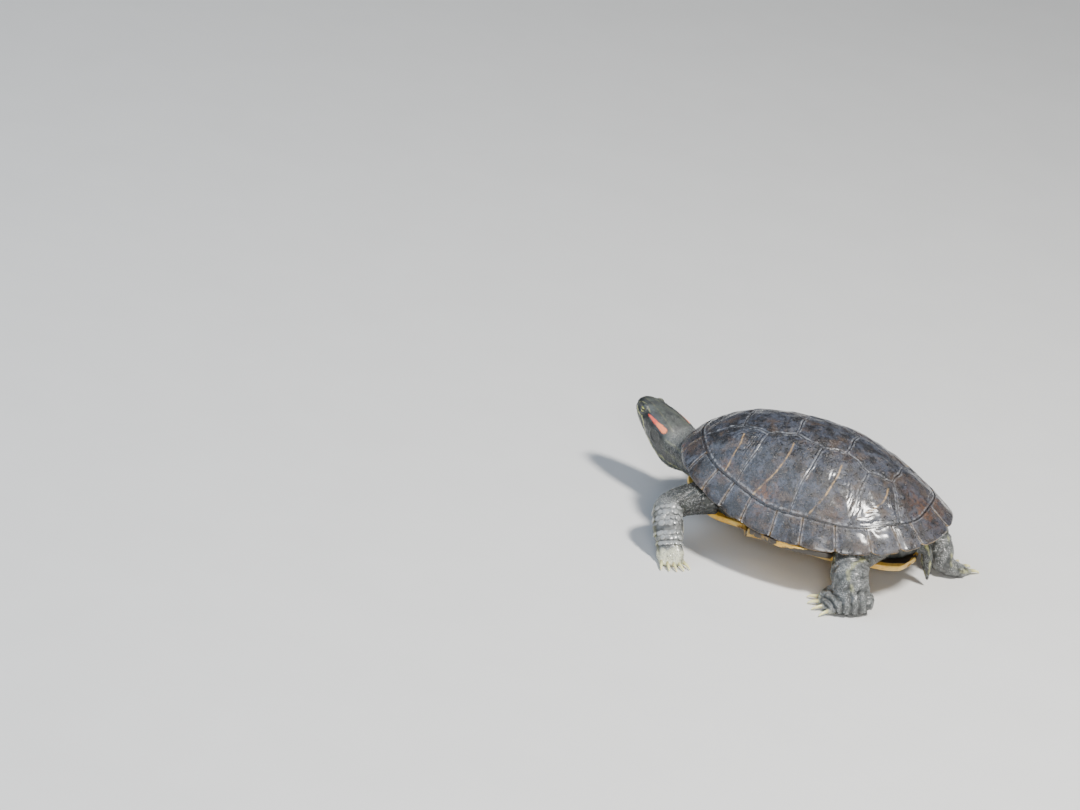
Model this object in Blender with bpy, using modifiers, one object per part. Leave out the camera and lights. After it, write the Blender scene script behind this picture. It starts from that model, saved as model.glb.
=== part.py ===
"""Red-eared slider turtle, life size, as a still museum model.

The turtle faces -Y, its own left is +X and the floor is z = 0. Lengths in this file are in
millimetres and become metres in the meshes. The shell is a formula (a rim and a dome over it),
the flesh is lofted through a few stations per limb, and each neighbour is kept a small gap away.
"""

import math

import bmesh
import bpy
from mathutils import Matrix, Vector

MM = 0.001
OBJECT_NAME = "red_eared_slider"

# Shell: a slider of 200 mm carapace length, carried clear of the floor by its legs.
LENGTH = 200.0
WIDTH = 157.1
PLASTRON_LEVEL = 19.0
SHELL_TOP = PLASTRON_LEVEL + 75.7
RIM_FRONT = PLASTRON_LEVEL + 37.0
RIM_SIDE = PLASTRON_LEVEL + 17.9
RIM_REAR = PLASTRON_LEVEL + 30.1
RIM_TAPER = -0.071
RIM_ROUNDNESS = 0.884
CROWN_Y = -11.9
FRONT_POWERS = (2.443, 0.816)
SIDE_POWERS = (2.135, 0.87)
REAR_POWERS = (2.093, 1.097)
SHELL_WALL = 4.5
LIP_SHARE = 0.6
RIM_OVERHANG = 0.8
DOME_RINGS = 9
# Seams between the rim plates, as shares of the shell's length from front to rear.
RIM_SEAMS = (0.0006, 0.02, 0.075, 0.155, 0.24, 0.33, 0.45, 0.56, 0.69, 0.81, 0.90, 0.957, 1.0)
NOTCH, NOTCH_RADIUS = 1.5, 90.0

# Plastron: a front and a rear lobe, with a bridge that rises to the rim on each side.
PLASTRON_WALL = 4.0
FRONT_END, REAR_END = -90.0, 86.0
BRIDGE_FRONT, BRIDGE_REAR = -38.0, 46.0
BRIDGE_CORNER = 14.0
LOBE_HALF = 39.5
END_HALF = 17.0
BRIDGE_INNER = 45.0
FRONT_TURN_UP = 9.0
NOTCH_DEPTH, NOTCH_START = 6.0, 66.0
CORNER_ROUNDING, CORNER_START = 5.0, 76.0
FRONT_TURN_START, REAR_TURN_START, REAR_TURN_UP = -56.0, 60.0, 2.0
BRIDGE_CLEARANCE = 1.2
PLASTRON_ROWS, PLASTRON_COLUMNS = 18, 10

GAP = 0.3
SHELL_GAP = 0.4
JOINT_GAP = 0.5
SIDES = 14
HEAD_SIDES = 18
TOE_SIDES = 8
CLAW_SIDES = 6

# Head: 44 mm from snout to nape, turned to the right, raised, and rolled to its left.
SNOUT = (-33.8, -145.1, 59.8)
HEAD_LENGTH = 44.0
HEAD_YAW, HEAD_PITCH, HEAD_ROLL = math.radians(25.5), math.radians(17.5), math.radians(-7.0)
# Distance back from the snout, half width, rise and drop from the axis.
HEAD_SECTIONS = (
    (0.0, 4.2, 3.0, 4.6),
    (1.2, 5.8, 4.4, 6.6),
    (4.0, 8.0, 6.0, 9.2),
    (10.0, 10.7, 8.2, 12.3),
    (18.0, 13.0, 9.3, 15.0),
    (27.0, 15.0, 10.0, 18.7),
    (36.0, 16.0, 9.8, 21.8),
    (44.0, 16.6, 8.2, 23.2),
)
EYE_BACK, EYE_SIDE, EYE_UP, EYE_RADIUS = 11.2, 6.8, 2.5, 3.8
JAW_BACK, JAW_DROP, JAW_SLOPE = 21.0, 3.6, math.radians(-7.0)

# Neck: centre and half width, rise, drop, from the nape back into the shell.
NECK_STATIONS = (
    ((-15.7, -107.2, 46.6), (16.6, 8.2, 23.2)),
    ((-12.0, -100.0, 45.8), (17.2, 7.0, 21.0)),
    ((-7.5, -92.5, 45.5), (17.8, 8.4, 17.8)),
    ((-3.0, -84.0, 45.0), (18.5, 11.0, 17.5)),
    ((0.0, -74.0, 45.0), (19.0, 12.0, 17.0)),
)

# Limbs: centre and half width, half thickness of each station, and the direction of the width.
FORE_LEFT = {
    "upper": (
        ((42.0, -62.0, 37.0), (13.0, 12.0)),
        ((50.0, -76.0, 34.0), (11.5, 11.0)),
        ((57.0, -84.0, 31.0), (10.5, 10.5)),
    ),
    "lower": (
        ((64.0, -88.0, 28.0), (10.4, 9.6)),
        ((71.0, -85.5, 24.5), (11.0, 8.0)),
        ((77.5, -81.6, 18.0), (11.2, 6.8)),
        ((81.5, -79.0, 13.4), (10.2, 6.2)),
    ),
    "foot": (
        ((84.0, -77.3, 9.6), (9.6, 6.0)),
        ((88.0, -74.6, 6.2), (10.2, 5.0)),
        ((91.4, -72.0, 3.4), (9.9, 3.9)),
        ((93.3, -70.5, 2.5), (8.5, 2.9)),
    ),
    "wide": (-0.3, 0.93, 0.18),
}
FORE_RIGHT = {
    "upper": (
        ((-42.0, -62.0, 37.0), (13.0, 12.0)),
        ((-50.0, -74.0, 34.0), (11.5, 11.0)),
        ((-56.0, -80.5, 31.0), (10.5, 10.5)),
    ),
    "lower": (
        ((-62.0, -85.0, 28.0), (10.4, 9.6)),
        ((-69.0, -88.5, 23.5), (11.0, 8.0)),
        ((-76.0, -92.4, 17.0), (11.2, 6.8)),
        ((-80.5, -95.2, 12.8), (10.2, 6.2)),
    ),
    "foot": (
        ((-83.6, -97.2, 9.4), (9.6, 6.0)),
        ((-87.6, -100.2, 6.2), (10.2, 5.0)),
        ((-91.0, -102.8, 3.2), (9.9, 3.9)),
        ((-93.0, -104.3, 2.3), (8.5, 2.9)),
    ),
    "wide": (-0.55, 0.83, 0.0),
}
HIND_LEFT = {
    "upper": (
        ((33.0, 58.0, 38.0), (14.5, 11.5)),
        ((44.0, 51.5, 34.5), (14.0, 12.5)),
        ((55.0, 47.5, 30.0), (13.4, 13.2)),
    ),
    "lower": (
        ((64.0, 48.5, 25.0), (13.6, 13.8)),
        ((71.0, 52.0, 20.0), (13.6, 13.0)),
        ((74.5, 57.0, 14.5), (12.8, 11.6)),
    ),
    "foot": (
        ((72.8, 67.5, 8.0), (8.8, 7.2)),
        ((75.6, 61.0, 9.6), (12.6, 9.6)),
        ((79.6, 51.5, 9.0), (14.6, 8.8)),
        ((82.6, 44.2, 6.8), (14.0, 6.0)),
        ((85.4, 39.8, 4.8), (11.6, 3.8)),
    ),
    "wide": (0.91, 0.35, -0.22),
}
HIND_RIGHT = {
    "upper": (
        ((-32.0, 58.0, 40.0), (15.5, 13.0)),
        ((-36.0, 69.0, 35.0), (13.6, 12.0)),
        ((-36.5, 78.0, 30.0), (12.2, 11.2)),
    ),
    "lower": (
        ((-35.0, 85.0, 25.0), (12.4, 10.4)),
        ((-31.0, 90.6, 18.4), (11.8, 9.6)),
        ((-28.0, 94.6, 12.8), (11.2, 9.0)),
    ),
    "foot": (
        ((-27.5, 97.0, 9.2), (10.8, 7.8)),
        ((-31.0, 100.2, 6.6), (12.4, 6.4)),
        ((-36.2, 102.9, 4.5), (13.4, 5.0)),
        ((-40.6, 104.6, 3.3), (12.6, 3.8)),
        ((-43.2, 105.5, 2.6), (10.4, 3.0)),
    ),
    "wide": (0.6, 0.8, 0.0),
}
# Toes: count, half spread at the roots, fan angle, toe length and radius, claw length and radius.
FORE_TOES = (5, 7.3, math.radians(20.0), 3.6, 2.2, 9.4, 1.5)
HIND_TOES = (4, 9.2, math.radians(26.0), 4.6, 2.6, 9.2, 1.55)
TOE_CLEARANCE, TOE_SETBACK, TOE_ARCH, TOE_OVERLAP, TOE_TAPER = 0.35, 1.5, 1.8, 2.0, 0.86
CLAW_CLEARANCE, CLAW_OVERLAP, CLAW_LIFT, CLAW_TIP = 0.35, 1.2, 0.25, 0.14
CLAW_REACH, CLAW_HOOK, CLAW_FLATNESS = 0.94, 1.7, 0.85

# Tail: centre and radius, hanging from behind the plastron's notch almost to the floor.
TAIL_STATIONS = (
    ((0.0, 74.0, 32.5), 8.4),
    ((-0.5, 83.0, 29.5), 6.5),
    ((-0.8, 88.6, 21.5), 4.8),
    ((0.0, 91.4, 13.0), 3.2),
    ((0.8, 93.4, 4.8), 1.1),
)

# Trunk: the flesh inside the shell, as a share of the rim's outline, less at the leg openings.
TRUNK_REACH, LEG_OPENING = 0.84, 0.13
SHELF_INNER, SHELF_OUTER, SHELF_RISE = 40.0, 50.0, 13.0
TRUNK_CLEARANCE, SHOULDER_DROP = 1.0, 5.5
TRUNK_BASE = 2.4
TRUNK_SECTORS, TRUNK_LEVELS = 24, 4

MATERIALS = {
    "shell": ((0.035, 0.034, 0.032), 0.28),
    "plastron": ((0.62, 0.44, 0.10), 0.4),
    "skin": ((0.075, 0.085, 0.075), 0.5),
    "eye": ((0.10, 0.12, 0.05), 0.08),
    "claw": ((0.62, 0.56, 0.36), 0.35),
}


# ---------------------------------------------------------------- scene and materials


def clear_scene():
    for obj in list(bpy.data.objects):
        bpy.data.objects.remove(obj, do_unlink=True)


def make_collection(name, hidden=False):
    collection = bpy.data.collections.new(name)
    collection.hide_render = hidden
    bpy.context.scene.collection.children.link(collection)
    return collection


def make_material(name, colour, roughness):
    material = bpy.data.materials.new(name)
    material.use_nodes = True
    shader = material.node_tree.nodes["Principled BSDF"]
    shader.inputs["Base Color"].default_value = (*colour, 1.0)
    shader.inputs["Roughness"].default_value = roughness
    shader.inputs["Metallic"].default_value = 0.0
    material.diffuse_color = (*colour, 1.0)
    return material


def add_object(name, mesh, collection, kind=None):
    """Link a mesh as an object; a piece gets its own material, a cutter is drawn as wire."""
    obj = bpy.data.objects.new(name, mesh)
    collection.objects.link(obj)
    if kind is None:
        obj.hide_render = True
        obj.display_type = "WIRE"
    else:
        mesh.materials.clear()
        mesh.materials.append(make_material(name + "_" + kind, *MATERIALS[kind]))
        mesh.shade_smooth()
    return obj


# ---------------------------------------------------------------- lofts


def mesh_from_bmesh(name, bm):
    """Turn the faces outwards, scale to metres and hand back the mesh."""
    bm.normal_update()
    bmesh.ops.recalc_face_normals(bm, faces=bm.faces)
    bmesh.ops.scale(bm, vec=(MM, MM, MM), verts=bm.verts)
    mesh = bpy.data.meshes.new(name)
    bm.to_mesh(mesh)
    bm.free()
    return mesh


def loft(name, rings):
    """A closed solid through rings of equal point count, with a flat cap at each end."""
    bm = bmesh.new()
    made = [[bm.verts.new(point) for point in ring] for ring in rings]
    count = len(made[0])
    for first, second in zip(made, made[1:]):
        for i in range(count):
            j = (i + 1) % count
            bm.faces.new((first[i], first[j], second[j], second[i]))
    bm.faces.new(list(reversed(made[0])))
    bm.faces.new(made[-1])
    return mesh_from_bmesh(name, bm)


def ring(centre, side, up, half_side, rise, drop, count=SIDES, power=2.25):
    """A rounded section: a superellipse with its own rise above and drop below the centre."""
    points = []
    for i in range(count):
        angle = 2.0 * math.pi * i / count
        c, s = math.cos(angle), math.sin(angle)
        across = math.copysign(abs(c) ** (2.0 / power), c) * half_side
        high = math.copysign(abs(s) ** (2.0 / power), s) * (rise if s > 0 else drop)
        points.append(centre + side * across + up * high)
    return points


def catmull_rom(values, steps):
    """Values (vectors of any one length) with steps of a smooth curve between each pair."""
    ends = [values[0]] + list(values) + [values[-1]]
    smooth = []
    for i in range(1, len(values)):
        a, b, c, d = (Vector(value) for value in ends[i - 1 : i + 3])
        for k in range(steps):
            t = k / steps
            smooth.append(
                0.5
                * ((2.0 * b) + (c - a) * t + (2.0 * a - 5.0 * b + 4.0 * c - d) * t**2
                   + (3.0 * b - a - 3.0 * c + d) * t**3)
            )
    smooth.append(Vector(values[-1]))
    return smooth


def frames_along(centres, wide):
    """The tangent, width and thickness directions at each centre of a limb."""
    frames = []
    for i, centre in enumerate(centres):
        before = centres[max(i - 1, 0)]
        after = centres[min(i + 1, len(centres) - 1)]
        tangent = (after - before).normalized()
        side = (Vector(wide) - tangent * tangent.dot(Vector(wide))).normalized()
        frames.append((tangent, side, side.cross(tangent).normalized()))
    return frames


def swept_rings(stations, wide, steps=2):
    """The sections of a limb: (centre, tangent, ring maker) for each step along its stations."""
    centres = catmull_rom([station[0] for station in stations], steps)
    halves = catmull_rom([(*station[1], 0.0)[:3] for station in stations], steps)
    return [
        (centre, frame, tuple(half))
        for centre, half, frame in zip(centres, halves, frames_along(centres, wide))
    ]


def section_ring(section, shift=0.0, grow=0.0, count=SIDES):
    """One section's ring, moved along the limb by shift and swollen by grow."""
    centre, (tangent, side, up), half = section
    rise = half[1] + grow
    drop = (half[2] if half[2] else half[1]) + grow
    return ring(centre + tangent * shift, side, up, half[0] + grow, rise, drop, count=count)


def loft_sections(name, sections, start_gap=0.0, end_gap=0.0, grow=0.0, count=SIDES):
    """A limb piece whose two ends are drawn in by their share of the gap to the next piece."""
    rings = [section_ring(section, grow=grow, count=count) for section in sections]
    rings[0] = section_ring(sections[0], shift=start_gap, grow=grow, count=count)
    rings[-1] = section_ring(sections[-1], shift=-end_gap, grow=grow, count=count)
    return loft(name, rings)


# ---------------------------------------------------------------- Booleans


def apply_boolean(obj, cutter, operation):
    """Join or cut with the exact solver and keep the result as the object's own mesh."""
    modifier = obj.modifiers.new(operation.lower(), "BOOLEAN")
    modifier.operation = operation
    modifier.solver = "EXACT"
    modifier.object = cutter
    graph = bpy.context.evaluated_depsgraph_get()
    result = bpy.data.meshes.new_from_object(obj.evaluated_get(graph))
    obj.modifiers.clear()
    obj.data = result


def keep_largest(obj):
    """Drop the crumbs that a cut leaves, keeping the body with the most faces."""
    bm = bmesh.new()
    bm.from_mesh(obj.data)
    bmesh.ops.remove_doubles(bm, verts=bm.verts, dist=0.01 * MM)
    unseen = set(bm.faces)
    islands = []
    while unseen:
        stack = [unseen.pop()]
        island = set(stack)
        while stack:
            for edge in stack.pop().edges:
                for face in edge.link_faces:
                    if len(edge.link_faces) == 2 and face in unseen:
                        unseen.remove(face)
                        island.add(face)
                        stack.append(face)
        islands.append(island)
    largest = max(islands, key=len)
    spare = [face for face in bm.faces if face not in largest]
    bmesh.ops.delete(bm, geom=spare, context="FACES")
    loose = [vert for vert in bm.verts if not vert.link_faces]
    bmesh.ops.delete(bm, geom=loose, context="VERTS")
    bm.to_mesh(obj.data)
    bm.free()


def cut_away(obj, cutters):
    for cutter in cutters:
        apply_boolean(obj, cutter, "DIFFERENCE")
    keep_largest(obj)


def make_floor_block(collection):
    """The block under the floor plane that planes every sole flat at one level."""
    bm = bmesh.new()
    bmesh.ops.create_cube(bm, size=1.0)
    bmesh.ops.scale(bm, vec=(400.0, 400.0, 20.0), verts=bm.verts)
    bmesh.ops.translate(bm, vec=(0.0, 0.0, -10.0), verts=bm.verts)
    return add_object("floor_block", mesh_from_bmesh("floor_block", bm), collection)


# ---------------------------------------------------------------- shell


def rim_angle(share):
    """The angle round the rim, 0 at the front, of a share of the shell's length."""
    return math.acos(max(-1.0, min(1.0, 1.0 - 2.0 * share)))


def rim_point(angle):
    c, s = math.cos(angle), math.sin(angle)
    x = 0.5 * WIDTH * math.copysign(abs(s) ** RIM_ROUNDNESS, s) * (1.0 + RIM_TAPER * c)
    end = RIM_FRONT if c > 0 else RIM_REAR
    return Vector((x, -0.5 * LENGTH * c, RIM_SIDE + (end - RIM_SIDE) * c * c))


def dome_point(angle, share):
    """A point of the shell's outside: share 0 is the crown and 1 the rim."""
    c = math.cos(angle)
    front, rear = max(c, 0.0) ** 2, max(-c, 0.0) ** 2
    side = 1.0 - front - rear
    weights = (front, side, rear)
    powers = (FRONT_POWERS, SIDE_POWERS, REAR_POWERS)
    n = sum(weight * pair[0] for weight, pair in zip(weights, powers))
    m = sum(weight * pair[1] for weight, pair in zip(weights, powers))
    edge = rim_point(angle)
    rise = max(0.0, 1.0 - share**n) ** m
    return Vector(
        (edge.x * share, CROWN_Y + (edge.y - CROWN_Y) * share, edge.z + (SHELL_TOP - edge.z) * rise)
    )


def rim_angles():
    """Angles round the whole rim: each seam and the middle of each plate, both sides."""
    half = []
    for first, second in zip(RIM_SEAMS, RIM_SEAMS[1:]):
        low, high = rim_angle(first), rim_angle(second)
        half += [(low, True), (0.5 * (low + high), False)]
    half[0] = (0.0, False)
    half.append((math.pi, True))
    return half + [(2.0 * math.pi - angle, seam) for angle, seam in half[-2:0:-1]]


def make_dome(name, collection, kind=None, grow=0.0):
    """The carapace: the dome as an open surface, given its wall inwards, thinner at the rim."""
    bm = bmesh.new()
    angles = rim_angles()
    crown = bm.verts.new(dome_point(0.0, 0.0))
    rings = []
    for k in range(1, DOME_RINGS + 1):
        share = math.sin(0.5 * math.pi * k / DOME_RINGS) ** 0.9
        circle = []
        for angle, seam in angles:
            rear = max(-math.cos(angle), 0.0)
            inset = NOTCH / NOTCH_RADIUS * rear * seam * share**8
            circle.append(bm.verts.new(dome_point(angle, share * (1.0 - inset))))
        rings.append(circle)
    count = len(angles)
    for i in range(count):
        j = (i + 1) % count
        bm.faces.new((crown, rings[0][i], rings[0][j]))
        for inner, outer in zip(rings, rings[1:]):
            bm.faces.new((inner[i], outer[i], outer[j], inner[j]))
    rim_start = len(bm.verts) - count
    mesh = mesh_from_bmesh(name, bm)
    if sum(face.normal.z for face in mesh.polygons) < 0:
        mesh.flip_normals()
    obj = add_object(name, mesh, collection, kind)
    group = obj.vertex_groups.new(name="wall")
    group.add(list(range(rim_start)), 1.0, "REPLACE")
    group.add(list(range(rim_start, rim_start + count)), LIP_SHARE, "REPLACE")
    wall = obj.modifiers.new("wall", "SOLIDIFY")
    wall.thickness = (SHELL_WALL + 2.0 * grow) * MM
    wall.offset = -1.0 + 2.0 * grow / (SHELL_WALL + 2.0 * grow)
    wall.vertex_group = group.name
    wall.use_rim = True
    return obj


def smooth_step(value):
    value = max(0.0, min(1.0, value))
    return value * value * (3.0 - 2.0 * value)


def bridge_share(y):
    """1 along the bridge, 0 on the lobes, with rounded corners between."""
    return smooth_step((y - BRIDGE_FRONT) / BRIDGE_CORNER) * smooth_step((BRIDGE_REAR - y) / BRIDGE_CORNER)


def plastron_half(y):
    """The plastron's half width at y."""
    if y < BRIDGE_FRONT:
        end = (BRIDGE_FRONT - y) / (BRIDGE_FRONT - FRONT_END)
    elif y > BRIDGE_REAR:
        end = (y - BRIDGE_REAR) / (REAR_END - BRIDGE_REAR)
    else:
        end = 0.0
    lobe = END_HALF + (LOBE_HALF - END_HALF) * math.sqrt(max(0.0, 1.0 - end**2.4))
    edge = abs(rim_point(rim_angle(0.5 + y / LENGTH)).x) - RIM_OVERHANG
    return lobe + (edge - lobe) * bridge_share(y)


def plastron_under(x, y):
    """The height of the plastron's underside."""
    front_share = (FRONT_TURN_START - y) / (FRONT_TURN_START - FRONT_END)
    rear_share = (y - REAR_TURN_START) / (REAR_END - REAR_TURN_START)
    front = FRONT_TURN_UP * max(0.0, min(1.0, front_share)) ** 1.6
    rear = REAR_TURN_UP * max(0.0, min(1.0, rear_share)) ** 2
    edge = rim_point(rim_angle(0.5 + y / LENGTH))
    outward = (abs(x) - BRIDGE_INNER) / (abs(edge.x) - BRIDGE_INNER)
    wing = (edge.z - PLASTRON_WALL - BRIDGE_CLEARANCE - PLASTRON_LEVEL) * smooth_step(outward) ** 0.9
    return PLASTRON_LEVEL + front + rear + wing * bridge_share(y)


def sheet_outline(sheet):
    """The points round a sheet given as rows."""
    right = [row[-1] for row in sheet[1:]]
    left = [row[0] for row in sheet[-2:0:-1]]
    return sheet[0] + right + sheet[-1][-2::-1] + left


def make_plastron(name, collection, kind=None, grow=0.0):
    """The under shell: a sheet between the lobes' outlines, closed by the same sheet a wall higher."""
    bm = bmesh.new()
    under, over = [], []
    for r in range(PLASTRON_ROWS + 1):
        y = FRONT_END + (REAR_END - FRONT_END) * 0.5 * (1.0 - math.cos(math.pi * r / PLASTRON_ROWS))
        half = plastron_half(y)
        low, high = [], []
        for k in range(PLASTRON_COLUMNS + 1):
            across = 2.0 * k / PLASTRON_COLUMNS - 1.0
            x = half * across
            notch = NOTCH_DEPTH * (1.0 - abs(across)) * smooth_step((y - NOTCH_START) / 20.0)
            rounded = CORNER_ROUNDING * across**4 * smooth_step((abs(y) - CORNER_START) / 12.0)
            y_here = y - notch - math.copysign(rounded, y)
            z = plastron_under(x, y_here)
            x += grow * across
            y_here += grow * (2.0 * r / PLASTRON_ROWS - 1.0)
            low.append(bm.verts.new((x, y_here, z - grow)))
            high.append(bm.verts.new((x, y_here, z + PLASTRON_WALL + grow)))
        under.append(low)
        over.append(high)
    for sheet in (under, over):
        for first, second in zip(sheet, sheet[1:]):
            for k in range(PLASTRON_COLUMNS):
                bm.faces.new((first[k], first[k + 1], second[k + 1], second[k]))
    low_edge, high_edge = sheet_outline(under), sheet_outline(over)
    for i in range(len(low_edge)):
        bm.faces.new((low_edge[i - 1], low_edge[i], high_edge[i], high_edge[i - 1]))
    return add_object(name, mesh_from_bmesh(name, bm), collection, kind)


# ---------------------------------------------------------------- flesh


def make_trunk(name, collection, kind=None, grow=0.0):
    """The flesh that fills the middle of the shell, between the two plates."""
    count, levels = TRUNK_SECTORS, TRUNK_LEVELS
    bm = bmesh.new()
    tops, bottoms = [], []
    for k in range(1, levels + 1):
        high, low = [], []
        for i in range(count):
            angle = 2.0 * math.pi * i / count
            reach = (TRUNK_REACH - LEG_OPENING * math.sin(2.0 * angle) ** 2) * k / levels
            top = dome_point(angle, reach)
            grown = grow / max(Vector((top.x, top.y)).length, 1.0) * k / levels
            x, y = top.x * (1.0 + grown), top.y * (1.0 + grown)
            ceiling = top.z - SHELL_WALL - TRUNK_CLEARANCE - SHOULDER_DROP * (k / levels) ** 3
            shelf = SHELF_RISE * smooth_step((abs(x) - SHELF_INNER) / (SHELF_OUTER - SHELF_INNER))
            base = plastron_under(min(abs(x), BRIDGE_INNER), y) + PLASTRON_WALL + TRUNK_BASE + shelf
            high.append(bm.verts.new((x, y, ceiling + grow)))
            low.append(bm.verts.new((x, y, base - grow)))
        tops.append(high)
        bottoms.append(low)
    crown = bm.verts.new((0.0, CROWN_Y, SHELL_TOP - SHELL_WALL - TRUNK_CLEARANCE + grow))
    foot = bm.verts.new((0.0, CROWN_Y, PLASTRON_LEVEL + PLASTRON_WALL + TRUNK_BASE - grow))
    for i in range(count):
        j = (i + 1) % count
        bm.faces.new((crown, tops[0][i], tops[0][j]))
        bm.faces.new((foot, bottoms[0][j], bottoms[0][i]))
        for inner, outer in zip(tops, tops[1:]):
            bm.faces.new((inner[i], outer[i], outer[j], inner[j]))
        for inner, outer in zip(bottoms, bottoms[1:]):
            bm.faces.new((inner[j], outer[j], outer[i], inner[i]))
        bm.faces.new((tops[-1][i], bottoms[-1][i], bottoms[-1][j], tops[-1][j]))
    return add_object(name, mesh_from_bmesh(name, bm), collection, kind)


def head_axes():
    """Forward, left and up of the head."""
    forward = Vector(
        (
            -math.cos(HEAD_PITCH) * math.sin(HEAD_YAW),
            -math.cos(HEAD_PITCH) * math.cos(HEAD_YAW),
            math.sin(HEAD_PITCH),
        )
    )
    left = Vector((math.cos(HEAD_YAW), -math.sin(HEAD_YAW), 0.0))
    up = forward.cross(left)
    c, s = math.cos(HEAD_ROLL), math.sin(HEAD_ROLL)
    return forward, left * c + up * s, up * c - left * s


def head_point(back, left, up):
    forward, left_axis, up_axis = head_axes()
    return Vector(SNOUT) - forward * back + left_axis * left + up_axis * up


def head_box(name, collection, back, drop, grow):
    """The block that takes the lower jaw out of the head: all below the mouth line."""
    forward, left, up = head_axes()
    bm = bmesh.new()
    bmesh.ops.create_cube(bm, size=1.0)
    long, deep, wide = 2.0 * (back + grow), 40.0, 60.0
    turn = Matrix.Rotation(JAW_SLOPE, 3, left)
    axes = Matrix((turn @ -forward, left, turn @ up)).transposed()
    centre = head_point(0.0, 0.0, -drop + grow) - (turn @ up) * 0.5 * deep
    for vertex in bm.verts:
        vertex.co = centre + axes @ Vector((vertex.co.x * long, vertex.co.y * wide, vertex.co.z * deep))
    return add_object(name, mesh_from_bmesh(name, bm), collection)


def make_head_whole(name, collection, kind):
    """The head before the mouth is cut: a loft from the snout to the nape."""
    _, left, up = head_axes()
    sections = catmull_rom(HEAD_SECTIONS, 2)
    rings = []
    for back, half, rise, drop in sections:
        back = min(back, HEAD_LENGTH - 0.5 * GAP)
        rings.append(ring(head_point(back, 0.0, 0.0), left, up, half, rise, drop, HEAD_SIDES))
    return add_object(name, loft(name, rings), collection, kind)


def make_ball(name, collection, kind, centre, radius):
    bm = bmesh.new()
    bmesh.ops.create_uvsphere(bm, u_segments=12, v_segments=8, radius=radius)
    bmesh.ops.translate(bm, verts=bm.verts, vec=centre)
    return add_object(name, mesh_from_bmesh(name, bm), collection, kind)


def make_head(parts, cutters):
    """Head, lower jaw and eyes."""
    head = make_head_whole("head", parts, "skin")
    jaw = make_head_whole("jaw", parts, "skin")
    apply_boolean(head, head_box("mouth_cut", cutters, JAW_BACK, JAW_DROP, 0.5 * GAP), "DIFFERENCE")
    apply_boolean(jaw, head_box("jaw_block", cutters, JAW_BACK, JAW_DROP, -0.5 * GAP), "INTERSECT")
    for side, sign in (("left", 1.0), ("right", -1.0)):
        centre = head_point(EYE_BACK, sign * EYE_SIDE, EYE_UP)
        make_ball("eye_" + side, parts, "eye", centre, EYE_RADIUS)
        socket = make_ball("socket_" + side, cutters, None, centre, EYE_RADIUS + GAP)
        apply_boolean(head, socket, "DIFFERENCE")
    keep_largest(head)
    keep_largest(jaw)


def make_neck(parts, shell_cutters):
    """The neck, from the nape back to the trunk."""
    forward, left, up = head_axes()
    sections = swept_rings(NECK_STATIONS, left, steps=2)
    centre, _, half = sections[0]
    sections[0] = (centre, (-forward, left, up), half)
    neck = add_object("neck", loft_sections("neck", sections, start_gap=0.5 * GAP), parts, "skin")
    cut_away(neck, shell_cutters)


def foot_directions(stations):
    """Where a foot points along the floor, the way across it, and the middle of its front."""
    tip, before = Vector(stations[-1][0]), Vector(stations[-2][0])
    ahead = tip - before
    ahead.z = 0.0
    ahead.normalize()
    return ahead, Vector((0.0, 0.0, 1.0)).cross(ahead), tip


def make_claw(name, collection, kind, root, ahead, length, radius, grow=0.0):
    """A claw: a tapering hook that leaves the toe level and ends just clear of the floor."""
    drop = root.z - CLAW_CLEARANCE
    rings = []
    for share in (0.0, 0.35, 0.7, 1.0):
        place = root + ahead * length * math.sin(0.5 * math.pi * share) * CLAW_REACH
        place.z = root.z - (drop - CLAW_LIFT) * share**CLAW_HOOK
        size = radius * (1.0 - (1.0 - CLAW_TIP) * share**1.3) + grow
        fall = CLAW_HOOK * drop * share ** (CLAW_HOOK - 1.0)
        slope = math.atan2(fall, length * 1.5 * math.cos(0.45 * math.pi * share))
        up = Vector((0, 0, 1)) * math.cos(slope) + ahead * math.sin(slope)
        across = Vector((0, 0, 1)).cross(ahead)
        rings.append(ring(place, across, up, size * CLAW_FLATNESS, size, size, CLAW_SIDES, power=2.0))
    return add_object(name, loft(name, rings), collection, kind)


def make_foot(name, limb, toes, parts, cutters, floor_block):
    """A foot with its short webbed toes, on a flat sole, and its separate claws."""
    stations = limb["foot"]
    count, spread, fan, toe_length, toe_radius, claw_length, claw_radius = toes
    sections = swept_rings(stations, limb["wide"], steps=2)
    foot = add_object(name, loft_sections(name, sections, start_gap=0.5 * GAP), parts, "skin")
    ahead, across, tip = foot_directions(stations)
    claws = []
    for i in range(count):
        share = 2.0 * i / (count - 1) - 1.0
        angle = fan * share
        heading = ahead * math.cos(angle) + across * math.sin(angle)
        root = tip + across * spread * share - ahead * (TOE_SETBACK + TOE_ARCH * share * share)
        start = Vector((root.x, root.y, toe_radius + TOE_CLEARANCE)) - heading * TOE_OVERLAP
        end = start + heading * (toe_length + TOE_OVERLAP)
        end_radius = toe_radius * TOE_TAPER
        toe_stations = [(start, (toe_radius, toe_radius)), (end, (end_radius, end_radius))]
        toe_sections = swept_rings(toe_stations, heading.cross(Vector((0, 0, 1))), steps=2)
        toe_mesh = loft_sections("toe", toe_sections, count=TOE_SIDES)
        toe = add_object(f"{name}_toe_{i + 1}", toe_mesh, cutters)
        apply_boolean(foot, toe, "UNION")
        claw_root = end - heading * CLAW_OVERLAP + Vector((0.0, 0.0, CLAW_LIFT))
        claw_name = name.replace("foot", "claw") + f"_{i + 1}"
        claw = (claw_root, heading, claw_length, claw_radius)
        make_claw(claw_name, parts, "claw", *claw)
        claws.append(make_claw(claw_name + "_socket", cutters, None, *claw, grow=GAP))
    cut_away(foot, claws + [floor_block])


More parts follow.
